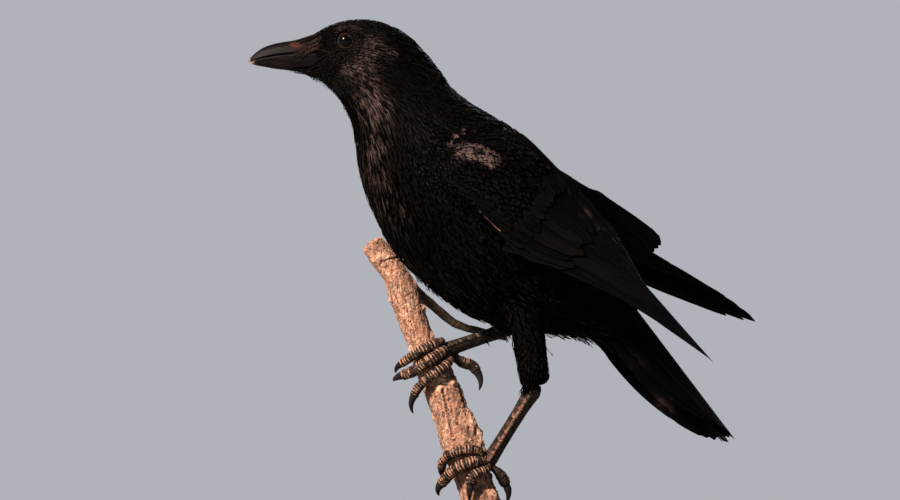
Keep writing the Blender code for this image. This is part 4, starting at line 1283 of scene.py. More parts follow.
def fan_at(label, f, a):
    """A point of the fan's outer face: f from tertials to leading edge, a from the visible
    roots to the tips."""
    rows = np.array(ARM[label], float)
    upper, lower = rows[-1]
    f, a = np.broadcast_arrays(np.asarray(f, float), np.asarray(a, float))
    root = upper + (lower - upper) * f[..., None]
    tips = np.array(FAN_TIPS[label], float)
    tip = smooth_at(tips, np.clip(f, 0, 1) * (len(tips) - 1))
    _, root_normal = arm_at(label, np.array(float(len(rows) - 1)), np.array(0.5))
    free_normal = side_normal(tip - root, np.broadcast_to(lower - upper, tip.shape), SIDES[label])
    share = a[..., None]
    normal = unit(root_normal * (1 - share) + free_normal * share)
    camber = np.sin(math.pi * np.clip(f, 0, 1))[..., None] * (
        ARM_CAMBER * (1 - share) + TIP_CAMBER * share)
    late = np.clip((f - 0.45) / 0.4, 0, 1)
    rise = TERTIAL_BOW[label] * 4 * a * (1 - a) * np.maximum(0.0, 1 - 3 * f)
    rise = rise + PRIMARY_BOW[label] * 4 * a * (1 - a) * late * late * (3 - 2 * late)
    point = root + (tip - root) * share + normal * camber
    point[..., 2] += rise
    return point, normal


def tail_at(q, a):
    """A point of the tail's roof: q from the left edge to the right one, a from the rump to
    the tips."""
    q, a = np.broadcast_arrays(np.asarray(q, float), np.asarray(a, float))
    root = np.array((TAIL_ROOT[0], 0.0, TAIL_ROOT[1]))
    tip = np.array((TAIL_TIP[0], 0.0, TAIL_TIP[1]))
    length = np.linalg.norm(tip - root)
    along = unit(tip - root)
    up = np.array((-along[2], 0.0, along[0]))
    turn = q * math.pi / 2
    reach = TAIL_START + (length - OUTER_TAIL_SHORTER * q * q - TAIL_START) * a
    half_width = TAIL_HALF_WIDTH[0] + (TAIL_HALF_WIDTH[1] - TAIL_HALF_WIDTH[0]) * a
    drop = TAIL_DROP[0] + (TAIL_DROP[1] - TAIL_DROP[0]) * a + TAIL_BELLY * np.sin(
        math.pi * np.clip(a, 0, 1))
    roll = TAIL_ROLL[0] + (TAIL_ROLL[1] - TAIL_ROLL[0]) * a

    def rolled(side, height):
        return (side * np.cos(roll) - height * np.sin(roll),
                height * np.cos(roll) - side * np.sin(roll))

    side, height = rolled(half_width * np.sin(turn), drop * np.cos(turn) - drop)
    point = root + along * reach[..., None] + up * height[..., None]
    point[..., 1] += side
    out_side, out_height = rolled(np.sin(turn) / half_width, np.cos(turn) / drop)
    normal = up * out_height[..., None]
    normal[..., 1] += out_side
    return point, unit(normal)


def long_feather(spine, normal, toward_edge, inner, outer, tip, seed, room=None):
    """One flight feather as points (2 faces, rows, columns, 3) and facts. The spine is its
    shaft; toward_edge points to its open edge, and the inner vane lies under its neighbour."""
    chance = np.random.default_rng(seed)
    rows = len(spine)
    a = np.linspace(0, 1, rows)
    length = np.linalg.norm(np.diff(spine, axis=0), axis=1).sum()
    ragged = np.cumsum(chance.normal(0, 0.06, (2, rows)), 1)
    ragged -= np.linspace(0, 1, rows) * ragged[:, -1:]
    notches = np.ones((2, rows))
    for _ in range(NOTCHES):
        where, which = chance.integers(rows // 3, rows - 3), chance.integers(0, 2)
        notches[which, where:where + 2] -= chance.uniform(0.06, 0.2)
    closing = 1 - np.clip((a - (1 - tip)) / tip, 0, 1) ** 2.2
    root_share = 0.55 + 0.45 * np.clip(a / 0.25, 0, 1)
    widths = [np.maximum(w * np.sqrt(np.maximum(closing, 0)) * root_share * notches[k]
                         + ragged[k], 0.25) for k, w in enumerate((inner, outer))]
    if room is not None:
        widths = [np.minimum(width, np.maximum(free, 0.3)) for width, free in zip(widths, room)]
    shaft = SHAFT_WIDTH * (1 - 0.75 * a)
    columns = np.sort(np.concatenate([INNER_VANE * widths[0][:, None],
                                      np.stack([-shaft, 0 * a, shaft], 1) * 0.7,
                                      OUTER_VANE * widths[1][:, None]], 1), 1)
    normal = unit(normal)
    across = flat_on(toward_edge, normal)
    along = unit(np.gradient(spine, axis=0))
    sweep = -np.abs(columns) * 0.55 * (a[:, None] > 0)
    sweep = sweep * np.clip((1 - a) * 6, 0.35, 1)[:, None]
    ridge = np.exp(-(columns / np.maximum(shaft[:, None], 0.2)) ** 2) * (0.45 - 0.33 * a[:, None])
    sink = -0.075 * (widths[1][:, None] - columns) - 0.006 * columns ** 2
    top = (spine[:, None] + across[:, None] * columns[..., None] + along[:, None] * sweep[..., None]
           + normal[:, None] * (sink + ridge)[..., None])
    below = top - normal[:, None] * (VANE_THICKNESS + 2.2 * ridge)[..., None]
    facts = {"reach": a[:, None], "along": a[:, None] * length + sweep, "across": columns,
             "tone": chance.random()}
    return (np.stack([top, below]),
            {key: np.broadcast_to(value, (2, *columns.shape)) for key, value in facts.items()})


def sheet_plan(rows, columns):
    """The faces of a closed sheet: a top grid, a bottom grid and the rim between them."""
    top = np.arange(rows * columns).reshape(rows, columns)
    low = top + rows * columns

    def grid(index):
        return np.stack([index[:-1, :-1], index[:-1, 1:], index[1:, 1:], index[1:, :-1]],
                        -1).reshape(-1, 4)

    rim = np.array([*top[0][::-1], *top[1:, 0], *top[-1][1:], *top[::-1, -1][1:]])
    after = np.roll(rim, -1)
    sides = np.stack([rim, after, after + rows * columns, rim + rows * columns], -1)[:-1]
    return quad_faces(np.concatenate([grid(top), grid(low)[:, ::-1], sides]))


def sheet_piece(name, sheets, material, slot, replaces=(), uv=None):
    """Join sheets, each its points (2 faces, rows, columns, 3) and their facts, into one piece."""
    faces = sheet_plan(*sheets[0][0].shape[1:3])
    points, faces = joined([(points.reshape(-1, 3), faces) for points, _ in sheets])
    facts = {key: np.concatenate([facts[key].ravel() for _, facts in sheets])
             for key in sheets[0][1]}
    obj = make_piece(name, points, faces, material, slot, replaces, facts, uv)
    bm = bmesh.new()
    bm.from_mesh(obj.data)
    bmesh.ops.recalc_face_normals(bm, faces=bm.faces)
    bm.to_mesh(obj.data)
    bm.free()


def feather_fan(name, feathers, material, replaces=()):
    """Join flight feathers into one piece; each has a strip of its own on the map."""
    rows, columns = feathers[0][0].shape[1:3]
    u, v = np.meshgrid(np.linspace(0, 1, columns), np.linspace(0.02, 0.98, rows))
    uv = [np.stack([(k + 0.06 + 0.42 * u + 0.48 * face) / len(feathers), v], -1).reshape(-1, 2)
          for k in range(len(feathers)) for face in range(2)]
    sheet_piece(name, feathers, material, "feathers", replaces, np.concatenate(uv))


def build_wing_feathers(label, material):
    """Tertials over secondaries over primaries, each feather from under the coverts to its
    own tip."""
    count = TERTIALS + SECONDARIES + PRIMARIES
    groups = {"primaries": [], "secondaries": []}
    upper, lower = np.array(ARM[label][-1], float)
    a = np.linspace(*FLIGHT_SPAN, FLIGHT_ROWS)
    for i in range(count):
        share = (i + 0.5) / count
        spine, normal = fan_at(label, share, a)
        ahead, behind = (fan_at(label, share + step, a)[0] for step in (EDGE_STEP, -EDGE_STEP))
        toward_edge = unit(unit(ahead - behind) * 0.4 + unit(lower - upper) * 0.6)
        late = max(0, i - TERTIALS - SECONDARIES) / PRIMARIES
        if i < TERTIALS:
            group, inner, outer, tip = "secondaries", 11.0, 8.0, 0.22
        elif i < TERTIALS + SECONDARIES:
            group, inner, outer, tip = "secondaries", 11.0, 6.5, 0.14
        else:
            group, inner, outer, tip = "primaries", 10.5 - 2.5 * late, 4.6 - 3.0 * late, 0.30
        room = [np.linalg.norm(fan_at(label, edge, a)[0] - spine, axis=1) + 0.8
                for edge in (0.0, 1.0)]
        points, facts = long_feather(spine - normal * FLIGHT_SUNK, normal, toward_edge, inner,
                                     outer, tip, 400 + i + 50 * (label == "right"), room)
        if label == "left":
            points = kept_below(points, WING_EDGE, EDGE_SOFTNESS)
        groups[group].append((points, facts))
    for group, feathers in groups.items():
        feather_fan(f"{group}_{label}", feathers, material, [f"wing_{label}_{group}"])


def build_tail_feathers(material):
    """Twelve feathers; the middle pair lies on top."""
    half = len(TAIL_REACH)
    for label, side in SIDES.items():
        feathers = []
        for i, extra in enumerate(TAIL_REACH):
            q = side * (i + 0.42) / half
            a = np.linspace(-0.22, 1.0 + extra, FLIGHT_ROWS)
            spine, normal = tail_at(q, a)
            edge, _ = tail_at(q + side * 1.5 * EDGE_STEP, a)
            inner, outer = (10.5, 10.5) if i == 0 else (13.0, 8.2 - 1.1 * (i - 1))
            spine = spine - normal * TAIL_SUNK
            points, facts = long_feather(spine, normal, edge - spine, inner, outer, 0.10,
                                         700 + i + 30 * (side > 0))
            feathers.append((kept_below(points, TAIL_EDGE, EDGE_SOFTNESS), facts))
        feather_fan("tail_feathers_" + label, feathers, material, ["tail_" + label])


class WingPath:
    """The way a feather's root to tip takes over the wing: along the arm, then over the fan.
    Distances are from the arm's end, in millimetres."""

    def __init__(self, label, share):
        arm, arm_normal = arm_at(label, np.linspace(1.2, len(ARM[label]) - 1, 60), share)
        fan, fan_normal = fan_at(label, share, np.linspace(0.02, 0.75, 60))
        points = np.concatenate([arm, fan])
        normals = np.concatenate([arm_normal, fan_normal])
        for _ in range(PATH_SMOOTHING):
            points[1:-1] = (points[:-2] + points[1:-1] * 2 + points[2:]) / 4
            normals[1:-1] = (normals[:-2] + normals[1:-1] * 2 + normals[2:]) / 4
        steps = np.linalg.norm(np.diff(points, axis=0), axis=1)
        self.places = np.concatenate([[0.0], np.cumsum(steps)])
        self.places -= self.places[len(arm) - 1]
        self.rows = np.concatenate([points, unit(normals)], 1)

    def at(self, places):
        rows = np.stack([np.interp(places, self.places, column) for column in self.rows.T], 1)
        return rows[:, :3], unit(rows[:, 3:])


def wing_covert(label, share, start, end, rise, half_width, tip, seed):
    """One covert on the wing: it starts deep and its tip rises over the next row."""
    places = np.linspace(start, end, COVERT_ROWS)
    spine, normal = WingPath(label, share).at(places)
    edge, _ = WingPath(label, share + EDGE_STEP).at(places)
    u = np.linspace(0, 1, COVERT_ROWS)[:, None]
    spine = spine + normal * (rise[0] + (rise[1] - rise[0]) * u)
    points, facts = long_feather(spine, normal, edge - spine, half_width * 1.1,
                                 half_width * 0.9, tip, seed)
    return kept_below(points), facts


def build_coverts(label, material):
    """Marginal, lesser, median and greater coverts, scapulars, and the short alula as a pale streak
    of painted glint.
    """
    chance = np.random.default_rng(81)
    feathers = []
    for start, end, rise, half_width, count, first, last in COVERT_BANDS:
        for k in range(count):
            share = first + (last - first) * (k + 0.5) / count + chance.normal(0, 0.004)
            slip = chance.normal(0, 1.3)
            length = (end - start) * chance.uniform(0.93, 1.07)
            feathers.append(wing_covert(label, share, start + slip, start + slip + length, rise,
                                        half_width * chance.uniform(0.92, 1.08), COVERT_TIP,
                                        len(feathers)))
    feather_fan("coverts_" + label, feathers, material)
    streak = wing_covert(label, *ALULA)
    feather_fan("alula_edge_" + label, [streak], mottled_finish(*ALULA_PAINTED_GLINT))


# ---------------------------------------------------------------------------------------------
# Head: bill, eyes, bristles
# ---------------------------------------------------------------------------------------------

def build_bill():
    """Upper and lower half, with the nostril's hollow and a worn tip."""
    material = bill_finish()
    for node in ("bill_upper", "bill_lower"):
        rings = tube_of(node, 9, np.array((-135.6, 0, 418)))
        hidden = rings[:1].mean(1, keepdims=True) * 0.1 + rings[:1] * 0.9 + (BILL_ROOT, 0, 0)
        fine = refined(np.concatenate([hidden, rings]), 90, 44)
        points = fine.reshape(-1, 3)
        middles = np.repeat(fine.mean(1), fine.shape[1], 0)
        nostril, ridge_shade = np.zeros(len(points)), np.zeros(len(points))
        if node == "bill_upper":
            x = points[:, 0] - NOSTRIL[0]
            z = points[:, 2] - NOSTRIL[1] + NOSTRIL_SLOPE * (x + 0.4)
            out = (x / NOSTRIL_SIZE[0]) ** 2 + (z / NOSTRIL_SIZE[1]) ** 2
            nostril = np.exp(-np.clip(out, 0, 9) ** 2 * 0.9)
            points = points + unit(middles - points) * (nostril * 0.4)[:, None]
            ridge = points.reshape(fine.shape)[np.arange(len(fine)), fine[..., 2].argmax(1)]
            wanted = np.interp(ridge[:, 0], *np.array(CULMEN).T) - ridge[:, 2]
            wanted *= np.clip((ridge[:, 0] + 186) / 3, 0, 1)
            tall = np.repeat(ridge[:, 2] - fine[..., 2].mean(1), fine.shape[1])
            high = np.clip((points[:, 2] - middles[:, 2]) / tall, 0, 1)
            points[:, 2] += np.repeat(wanted, fine.shape[1]) * high ** 1.5
            # How near the ridge a point lies: the finish paints shade there
            ridge_shade = np.clip(1 - tall * (1 - high) / 4.6, 0, 1)
        else:
            low = np.clip((middles[:, 2] - points[:, 2]) / 3.0, 0, 1)
            points[:, 2] -= 1.1 * low * np.clip((points[:, 0] + 172) / 20, 0, 1)
        lengths = ring_lengths(fine)
        reach = np.repeat(lengths / lengths[-1], fine.shape[1])
        ring_piece(node + "_horn", points.reshape(fine.shape), material, "bill", [node],
                   {"reach": reach, "nostril": nostril, "ridge_shade": ridge_shade,
                    "lower": np.full(len(points), float(node == "bill_lower"))})


def build_gape(bed):
    """The bare edge of the mouth, which runs back over the face below the eye."""
    material = horn_finish("gape", (0.0050, 0.0035, 0.0029), (0.055, 0.0350, 0.0280)).material
    share = np.linspace(0, 1, 26)
    for label, side in SIDES.items():
        for part, (line, radius) in enumerate(GAPE_LINES):
            rows = smooth_at(np.array(line, float) * (1, side, 1), share * (len(line) - 1))
            near, out = bed.nearest(rows)
            middle = near + out * (1.65 - 0.5 * share ** 3)[:, None]
            across = np.cross(unit(np.gradient(middle, axis=0)), out)
            thick = (radius * (1 - 0.75 * share ** 2))[:, None, None]
            rings = middle[:, None] + spokes(across, out, 12, 0.7) * thick
            ring_piece(f"gape_{label}_{part}", rings, material, "bill", (),
                       {"reach": np.repeat(share, 12) * 0.8})


def eye_ball_points():
    """A ball with a raised cornea, round its own +Z axis, and how far out each point is."""
    turn = np.linspace(0.02, math.pi - 0.02, EYE_GRID[0])[:, None]
    spin = turns(EYE_GRID[1])
    bulge = 1 + CORNEA_RISE * np.exp(-(turn / CORNEA_WIDTH) ** 2)
    ring = np.sin(turn) * EYE_RADIUS * bulge
    points = np.stack([ring * np.cos(spin), ring * np.sin(spin),
                       np.broadcast_to(np.cos(turn) * EYE_RADIUS * bulge, EYE_GRID)], -1)
    return points, np.broadcast_to(np.minimum(turn / 1.2, 1.3), EYE_GRID)


def turned_to(points, axis):
    """Points turned so that their +Z lies along an axis."""
    turn = np.array(Vector((0, 0, 1)).rotation_difference(Vector(axis)).to_matrix())
    return points @ turn.T


def build_eyes(bed):
    ball_finish, rim_finish = eye_finish(), lid_finish()
    for label, side in SIDES.items():
        centre = eye_centre(side)
        axis = unit((EYE_WAY, side, 0.0))
        ball, reach = eye_ball_points()
        ring_piece("eyeball_" + label, turned_to(ball, axis) + centre, ball_finish, "eye",
                   ["eye_" + label], {"reach": reach})
        build_lids(label, centre, axis, bed, rim_finish)


def build_lids(label, centre, axis, bed, material):
    """A bare ring of skin round the eye, its inner edge on the ball and its outer edge on the
    face."""
    around = 72
    spin = turns(around)
    forward = unit(np.array((-1.0, 0, 0)) - axis * -axis[0])
    up = np.cross(forward, axis)
    up = up * np.sign(up[2])
    rows = []
    for share, lift in LID_ROWS:
        wrinkle = 1 + 0.02 * np.sin(spin * 17) * share
        long, tall = (inner + width * share for inner, width in LID_SIZE)
        flat = (forward * (np.cos(spin) * long * wrinkle)[:, None]
                + up * (np.sin(spin) * tall * wrinkle)[:, None])
        out = np.linalg.norm(flat, axis=1)
        on_ball = np.sqrt(np.maximum((EYE_RADIUS + 0.15) ** 2 - out ** 2, 4.0))
        near, _ = bed.nearest(centre + flat + axis * on_ball[:, None])
        skin_height = np.clip((near - centre) @ axis, on_ball - 1.2, on_ball + 0.5)
        blend = min(share, 1.0)
        height = on_ball * (1 - blend) + skin_height * blend
        rows.append(centre + flat + axis * (height + lift)[:, None])
    reach = np.repeat(np.linspace(0, 1, len(rows)), around)
    # Where the rim gets its painted sky reflection
    painted_sky_glint = np.tile(np.clip(np.cos(spin + 0.35), 0, 1) ** 2, len(rows))
    lids = make_piece("eyelids_" + label, np.concatenate(rows),
                      tube_faces(len(rows), around, closed=False), material, "eye", (),
                      {"reach": reach, "painted_sky_glint": painted_sky_glint})
    modifier = lids.modifiers.new("fine", "SUBSURF")
    modifier.levels = modifier.render_levels = 1


def build_bristles(bed):
    """Stiff bristles that lie forward over the bill's root and hide part of the nostril."""
    # The tan brown is painted sunlight on the black bristles
    material = feather_finish("bristles", (0.0016, 0.0013, 0.0012), (0.062, 0.040, 0.033), 0.40,
                              0.7)
    count = BRISTLES // 2
    roots, ways = [], []
    for side in SIDES.values():
        v = CHANCE.random(count)
        x = FACE_FRONT + CHANCE.uniform(0, 4.5, count)
        roots.append(np.stack([x, side * (1.5 + 7.5 * v), 432.0 - 10.5 * v], 1))
        ways.append(np.stack([-np.ones(count),
                              side * 0.10 * (1 - v) + CHANCE.normal(0, 0.05, count),
                              -0.16 - 0.10 * v + CHANCE.normal(0, 0.07, count)], 1))
    roots, ways = np.concatenate(roots), unit(np.concatenate(ways))
    lengths = CHANCE.uniform(*BRISTLE_LENGTH, BRISTLES)
    vanes, facts = lay_vanes(bed, roots, ways, lengths, np.full(BRISTLES, BRISTLE_WIDTH),
                             CHANCE.uniform(1.3, 2.4, BRISTLES), rows=6, columns=3, pointed=1.0,
                             cup=0.12, cling=0.8, root_height=0.8)
    _, normals = bed.nearest(roots)
    vane_piece("nasal_bristles", vanes, facts, material, "feathers", box_map(roots, normals))


# ---------------------------------------------------------------------------------------------
# Feet
# ---------------------------------------------------------------------------------------------

def scute_band(rings, lengths, start, end, arc, top, lift, wear, seed, painted_glint=0.0):
    """One overlapping plate across a toe or shank, as points (2 faces, rows, columns, 3)."""
    rows, columns = SCUTE_GRID
    chance = np.random.default_rng(seed)
    t = np.interp(np.linspace(start, end, rows), lengths, np.arange(len(rings)))
    sections = smooth_at(rings, t)
    middles = sections.mean(1)
    radius = np.linalg.norm(sections - middles[:, None], axis=2).mean(1)
    along = unit(middles[-1] - middles[0])
    up = unit(top - along * (top @ along))
    other = np.cross(along, up)
    angles = np.linspace(-arc, arc, columns)
    out = up * np.cos(angles)[:, None] + other * np.sin(angles)[:, None]
    spread = sections - middles[:, None]
    fit = np.einsum("rsk,ck->rsc", unit(spread), out)
    chosen = np.take_along_axis(np.linalg.norm(spread, axis=2), fit.argmax(1), 1)
    size = chosen * 0.5 + radius[:, None] * 0.5
    u = np.linspace(0, 1, rows)[:, None]
    rise = SCUTE_ROOT + (lift - SCUTE_ROOT) * u ** 0.7
    edge = 1 - 0.7 * np.abs(angles / arc) ** 6
    bow = along * ((1 - np.abs(angles / arc) ** 2)[None, :, None] * 0.35 * u[..., None])
    outer = middles[:, None] + out[None] * (size + rise * edge)[..., None] + bow
    inner = outer - out[None] * (0.25 + 0.35 * u)[..., None]
    facts = {"reach": u, "tone": chance.random(), "wear": wear, "painted_glint": painted_glint}
    return (np.stack([outer, inner]),
            {key: np.broadcast_to(value, (2, rows, columns)) for key, value in facts.items()})


def build_scutes(label, material):
    """Plates along the top of each toe and down the front of the shank, the shank's with a painted
    glint down its front.
    """
    plates = []
    ankle = box_middle("tarsus_" + label)
    for k, toe in enumerate(TOES):
        node = f"toe_{label}_{toe}"
        rings = refined(tube_of(node, 8, ankle), FOOT_RINGS, 24)
        lengths = ring_lengths(rings)
        count = int((lengths[-1] - 1.0) / SCUTE_PITCH)
        bark = nearest_branch_point(rings.mean(1))
        shift = CHANCE.normal(0, 0.26, count)
        for n in range(count):
            start = max(0.2, 0.6 + n * SCUTE_PITCH + shift[n])
            ring = np.searchsorted(lengths, start)
            top = rings[ring].mean(0) - bark[ring]
            plates.append(scute_band(rings, lengths, start, start + SCUTE_PITCH * 1.22,
                                     math.radians(84), top, SCUTE_LIFT,
                                     0.4 if toe == "hind" else 1.0, 40 * k + n))
        if toe != "hind":
            plates += bridge_plates(label, toe, 800 + 40 * k)
    shank = refined(tube_of("tarsus_" + label, 10, ankle + (0, 0, 40)), FOOT_RINGS, 24)
    lengths = ring_lengths(shank)
    shank = shank + unit(shank - shank.mean(1, keepdims=True)) * (SHANK_SWELL - 0.15)
    across = np.linspace(-1, 1, SCUTE_GRID[1])
    wear, painted_glint = SHANK_WEAR_AND_GLINT[label]
    # Wear peaked in a narrow band down the shank's front as a painted glint, with a thinner painted
    # glint beside it; the far shank stays dark as painted shade
    wear = 0.10 + wear * np.exp(-((across + 0.42) / 0.17) ** 2)
    painted_glint = painted_glint * np.exp(-((across + 0.56) / 0.10) ** 2)
    edges = np.concatenate([np.linspace(7, lengths[-1] - 14, 8),
                            np.linspace(lengths[-1] - 10.5, lengths[-1] - 2, 5)])
    for n, (start, end) in enumerate(zip(edges, edges[1:])):
        plates.append(scute_band(shank, lengths, start, end + 0.6, SCUTE_ARC, SHANK_FRONT, 0.16,
                                 wear, 300 + n, painted_glint))
    sheet_piece("scutes_" + label, plates, material, "leg")


def bridge_plates(label, toe, seed):
    """Plates over the foot's back, from the shank's end to a toe's root."""
    rings, ups = toe_root(label, toe)
    lengths = ring_lengths(rings)
    plates = []
    for n, start in enumerate(np.arange(1.0, lengths[-1] - 1.5, SCUTE_PITCH)):
        top = ups[np.searchsorted(lengths, start)]
        plates.append(scute_band(rings, lengths, start, start + SCUTE_PITCH * 1.25,
                                 SCUTE_ARC, top, SCUTE_LIFT, 0.9, seed + n))
    return plates


def nearest_branch_point(places):
    """The branch's axis at each place's height."""
    line = smooth_at(BRANCH_LINE, np.linspace(0, len(BRANCH_LINE) - 1, 300))
    apart = np.linalg.norm(places[:, None] - line[None, :, :3], axis=2)
    return line[apart.argmin(1), :3]


def build_claws(material):
    for label in SIDES:
        for toe in TOES:
            node = f"toe_{label}_{toe}"
            rings = refined(tube_of(node + "_claw", 6, box_middle(node)), 34, 18)
            lengths = ring_lengths(rings)
            reach = np.repeat(lengths / lengths[-1], rings.shape[1])
            ring_piece(f"claw_{label}_{toe}", rings, material, "claw", [node + "_claw"],
                       {"reach": reach})


# ---------------------------------------------------------------------------------------------
# Branch and stand
# ---------------------------------------------------------------------------------------------

def build_bark():
    """The cut branch: plates of bark, long cracks, old shoot scars and a rough side, on which the
    finish paints shade.
    """
    along, around = BARK_GRID
    line = smooth_at(BRANCH_LINE, np.linspace(0, len(BRANCH_LINE) - 1.0, along))
    middle, radius = line[:, :3], line[:, 3]
    way = unit(np.gradient(middle, axis=0))
    right = unit(np.cross(np.array((0, 1.0, 0)), way))
    out = spokes(right, np.cross(way, right), around)
    ways_out = out.reshape(-1, 3)
    swell = 0.85 * (0.6 * np.sin(middle[:, 2] / 9.0) + 0.4 * np.sin(middle[:, 2] / 4.3 + 1.0))
    base = middle[:, None] + out * (radius + swell)[:, None, None]
    flat = base.reshape(-1, 3)
    ridges = sum(grain(flat * (1, 1, stretch), size, seed) * height
                 for stretch, size, seed, height in BARK_GRAIN)
    pits = np.clip(-grain(flat * (1, 1, 0.45), 3.0, 4) - 0.55, 0, 0.6) * 1.2
    # The rough side, away from the light: rough relief here, and painted shade in the bark's colour
    rough_shaded_side = np.clip((-ways_out @ BARK_SMOOTH_WAY - 0.05) * 1.6, 0, 1) * np.clip(
        (215 - flat[:, 2]) / 40, 0.12, 1)
    flakes = grain(flat * (1, 1, 0.6), 3.0, 6) * 0.9 + grain(flat, 1.6, 8) * 0.4
    relief = ridges - pits + (np.clip(flakes, -1.2, 1.0) - 0.2) * rough_shaded_side
    relief += bark_knobs(flat, middle, radius) - bark_cracks(flat, ways_out[:, 1])
    points = flat + ways_out * (relief - 0.25)[:, None]
    points = points.reshape(along, around, 3)
    points, relief = with_rough_top(points, relief.reshape(along, around), middle, way)
    points[..., 2] = np.maximum(points[..., 2], BRANCH_CUT)
    rough = np.concatenate([np.full(relief.size - len(rough_shaded_side), 0.4), rough_shaded_side])
    ring_piece("bark", points, bark_finish(), "bark", ["perch_branch"],
               {"relief": relief, "rough": rough})


def bark_cracks(points, outward):
    """Dark cracks with raised lips on the side at -Y."""
    depth = np.zeros(len(points))
    for line, width, deep in BARK_CRACKS:
        path = smooth_at(np.array(line, float), np.linspace(0, len(line) - 1, 30))
        path += np.random.default_rng(3).normal(0, 0.25, path.shape)
        apart = np.linalg.norm(points[:, None, ::2] - path[None], axis=2).min(1)
        near = outward < -0.1
        lip = 0.35 * np.exp(-((apart - 2.4 * width) / width) ** 2)
        depth += near * deep * (np.exp(-(apart / width) ** 2) - lip)
    return depth


def bark_knobs(points, middle, radius):
    """Old shoot scars and warts over the bark."""
    chance = np.random.default_rng(17)
    rows = list(BARK_KNOBS)
    for _ in range(SMALL_WARTS):
        turn = chance.uniform(0, 2 * math.pi)
        rows.append((chance.uniform(60, 272), math.cos(turn), math.sin(turn),
                     chance.uniform(0.7, 1.6), chance.uniform(0.25, 0.8)))
    total = np.zeros(len(points))
    for z, x, y, size, height in rows:
        ring = np.abs(middle[:, 2] - z).argmin()
        centre = middle[ring] + unit((x, y, 0)) * radius[ring]
        apart = np.linalg.norm(points - centre, axis=1) / size
        total += KNOB_HEIGHT * height * np.exp(-apart ** 2)
    return total


def with_rough_top(points, relief, middle, way):
    """Close the branch's upper end with a worn, knobby dome."""
    first = points[0]
    caps, reliefs = [], []
    for share in (0.05, 0.35, 0.62, 0.82, 0.93):
        ring = middle[0] + (first - middle[0]) * share - way[0] * 3.2 * math.sqrt(1 - share ** 2)
        bumps = grain(ring, 2.5, 9) * 0.5 * share
        caps.append(ring - way[0] * bumps[:, None])
        reliefs.append(0.2 + bumps * 0.4)
    return np.concatenate([np.array(caps), points]), np.concatenate([np.array(reliefs), relief])


def build_twig():
    rings = tube_of("perch_twig", 8, np.array((-47, 33.5, 231)))[2:]
    start = rings[0] - rings[0].mean(0)
    knee, root = (start * grown + place for grown, place in zip((1.15, 1.9), TWIG_ROOT))
    rings = refined(np.concatenate([[root, knee], rings]), 150, 30)
    points = rings.reshape(-1, 3)
    bumps = grain(points, 2.4, 11) * 0.14 + grain(points, 9.0, 12) * 0.22
    out = unit(rings - rings.mean(1, keepdims=True))
    ring_piece("twig", rings + out * bumps.reshape(*rings.shape[:2], 1), twig_finish(), "bark",
               ["perch_twig"])


def build_stand():
    """A flat base with a groove and a rounded upper edge, and a turned post with two flanges."""
    _, (half_x, half_y, top) = box_corners("stand_base")
    profile = [(0.0, 1.2), (0.6, 0.4), (1.5, 0.0), (top * 0.42, 0.0), (top * 0.47, 0.9),
               (top * 0.53, 0.9), (top * 0.58, 0.0)]
    profile += [(top - 3.2 + 3.0 * math.sin(t), 3.0 * (1 - math.cos(t)))
                for t in np.linspace(0, math.pi / 2, 7)]
    profile += [(top - 0.2, 8.0)]
    spin = turns(160)
    rings = []
    for z, inset in profile:
        x, y = (np.sign(wave) * (half - BASE_CORNER) + (BASE_CORNER - inset) * wave
                for half, wave in ((half_x, np.cos(spin)), (half_y, np.sin(spin))))
        rings.append(np.stack([x, y, np.full(len(spin), z)], 1))
    base = ring_piece("stand_plinth", np.array(rings), wood_finish(), "stand_wood",
                      ["stand_base"])
    low, high = box_corners("stand_rod")
    centre, flange = (low + high) / 2, (high[0] - low[0]) / 2
    foot = [(0, flange * 0.2), (0, flange - 0.5), (0.5, flange), (2.3, flange),
            (2.9, flange - 0.7), (3.0, ROD_RADIUS + 1.4), (3.6, ROD_RADIUS + 0.3),
            (4.6, ROD_RADIUS)]
    profile = [(low[2] + up, r) for up, r in foot] + [(high[2] - up, r) for up, r in foot[::-1]]
    spin = turns(72)
    rings = [np.stack([centre[0] + r * np.cos(spin), centre[1] + r * np.sin(spin),
                       np.full(len(spin), z)], 1) for z, r in profile]
    post = ring_piece("stand_post", np.array(rings), steel_finish(), "stand_metal",
                      ["stand_rod"])
    for piece in (base, post):
        piece.data.set_sharp_from_angle(angle=math.radians(40))


# ---------------------------------------------------------------------------------------------
# Studio
# ---------------------------------------------------------------------------------------------

def add_to_scene(name, data, place):
    obj = bpy.data.objects.new(name, data)
    obj.location = place
    bpy.context.scene.collection.objects.link(obj)
    return obj


def soft_light(name, place, size, power, colour):
    lamp = bpy.data.lights.new(name, "AREA")
    lamp.shape = "DISK"
    lamp.size = size
    lamp.energy = power
    lamp.color = colour
    way = Vector(LIGHTS_MEET) - Vector(place)
    add_to_scene(name, lamp, place).rotation_euler = way.to_track_quat("-Z", "Y").to_euler()


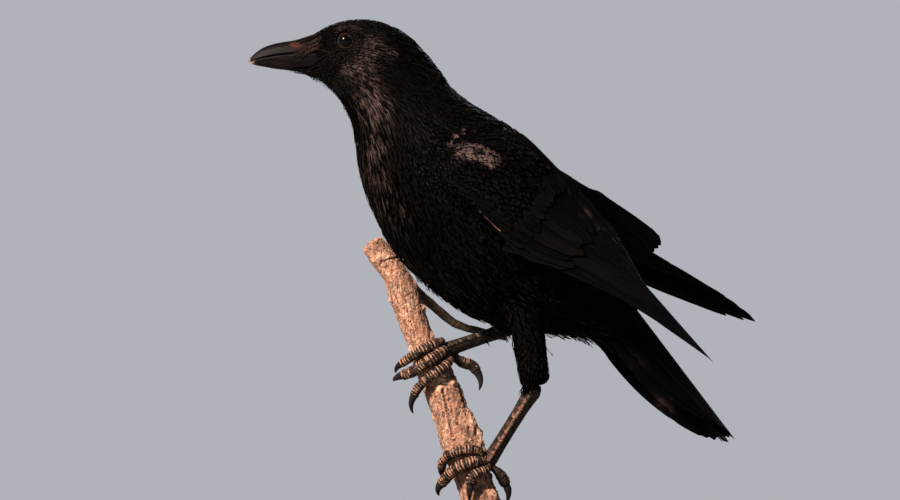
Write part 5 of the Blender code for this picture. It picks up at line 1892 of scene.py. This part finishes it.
def build_studio():
    """A plain backdrop that lights the model less than it shows, three lights and a floor."""
    world = bpy.data.worlds.new("studio")
    world.use_nodes = True
    backdrop = world.node_tree.nodes["Background"]
    backdrop.inputs[0].default_value = (*BACKDROP, 1)
    path = world.node_tree.nodes.new("ShaderNodeLightPath")
    strength = world.node_tree.nodes.new("ShaderNodeMapRange")
    strength.inputs["To Min"].default_value = BACKDROP_SPILL
    strength.inputs["To Max"].default_value = 1.0
    world.node_tree.links.new(path.outputs["Is Camera Ray"], strength.inputs["Value"])
    world.node_tree.links.new(strength.outputs[0], backdrop.inputs[1])
    bpy.context.scene.world = world
    for light in LIGHTS:
        soft_light(*light)
    bm = bmesh.new()
    bmesh.ops.create_circle(bm, cap_ends=True, segments=96, radius=FLOOR_RADIUS)
    mesh = bpy.data.meshes.new("floor")
    bm.to_mesh(mesh)
    bm.free()
    mesh.materials.append(floor_finish())
    add_to_scene("floor", mesh, (0, 0, -0.0004))


def build_camera():
    """A level camera far off on the near side."""
    bpy.context.scene.view_settings.view_transform = "Standard"
    lens = bpy.data.cameras.new("camera")
    lens.sensor_width = SENSOR_WIDTH
    lens.lens = SENSOR_WIDTH * VIEW_DISTANCE / VIEW_WIDTH
    lens.clip_end = 100.0
    x, _, z = VIEW_CENTRE
    camera = add_to_scene("camera", lens, (x * MM, -VIEW_DISTANCE * MM, z * MM))
    camera.rotation_euler = (math.radians(90), 0, 0)
    bpy.context.scene.camera = camera


def bill_bed():
    """The face and the bill as one surface, for the bristles."""
    (points, faces), normals = remeshed(joined_solids(["head", "bill_upper", "bill_lower"],
                                                      0.4), 1.0)
    return Bed((points - normals * 0.4, faces))


def build_bird():
    flesh, feet = flesh_and_feet()
    build_skin(flesh, feet)
    skin_bed = Bed(flesh)
    plates = [f"wing_{label}_{group}" for label in SIDES for group in ("secondaries", "primaries")]
    plates += ["tail_" + label for label in SIDES]
    lay_bed = Bed(joined([flesh, *feet, *(cad_surface(node) for node in plates)]))
    build_coat(skin_bed, lay_bed, flesh)
    flight = feather_finish("flight_feathers", (0.0007, 0.0009, 0.0012), (0.0024, 0.0022, 0.0024),
                            0.40, 1.3, 0.011)
    covert = feather_finish("covert_feathers", (0.0009, 0.0009, 0.0011), (0.0032, 0.0026, 0.0025),
                            0.50, 1.2, 0.012)
    for label in SIDES:
        build_wing_feathers(label, flight)
        build_coverts(label, covert)
    build_tail_feathers(flight)
    build_bill()
    build_eyes(skin_bed)
    build_gape(skin_bed)
    build_bristles(bill_bed())
    scutes = scute_finish()
    for label in SIDES:
        build_scutes(label, scutes)
    build_claws(horn_finish("claw_horn", (0.012, 0.010, 0.010), (0.055, 0.045, 0.042)).material)


build_camera()
build_studio()
build_bird()
build_bark()
build_twig()
build_stand()
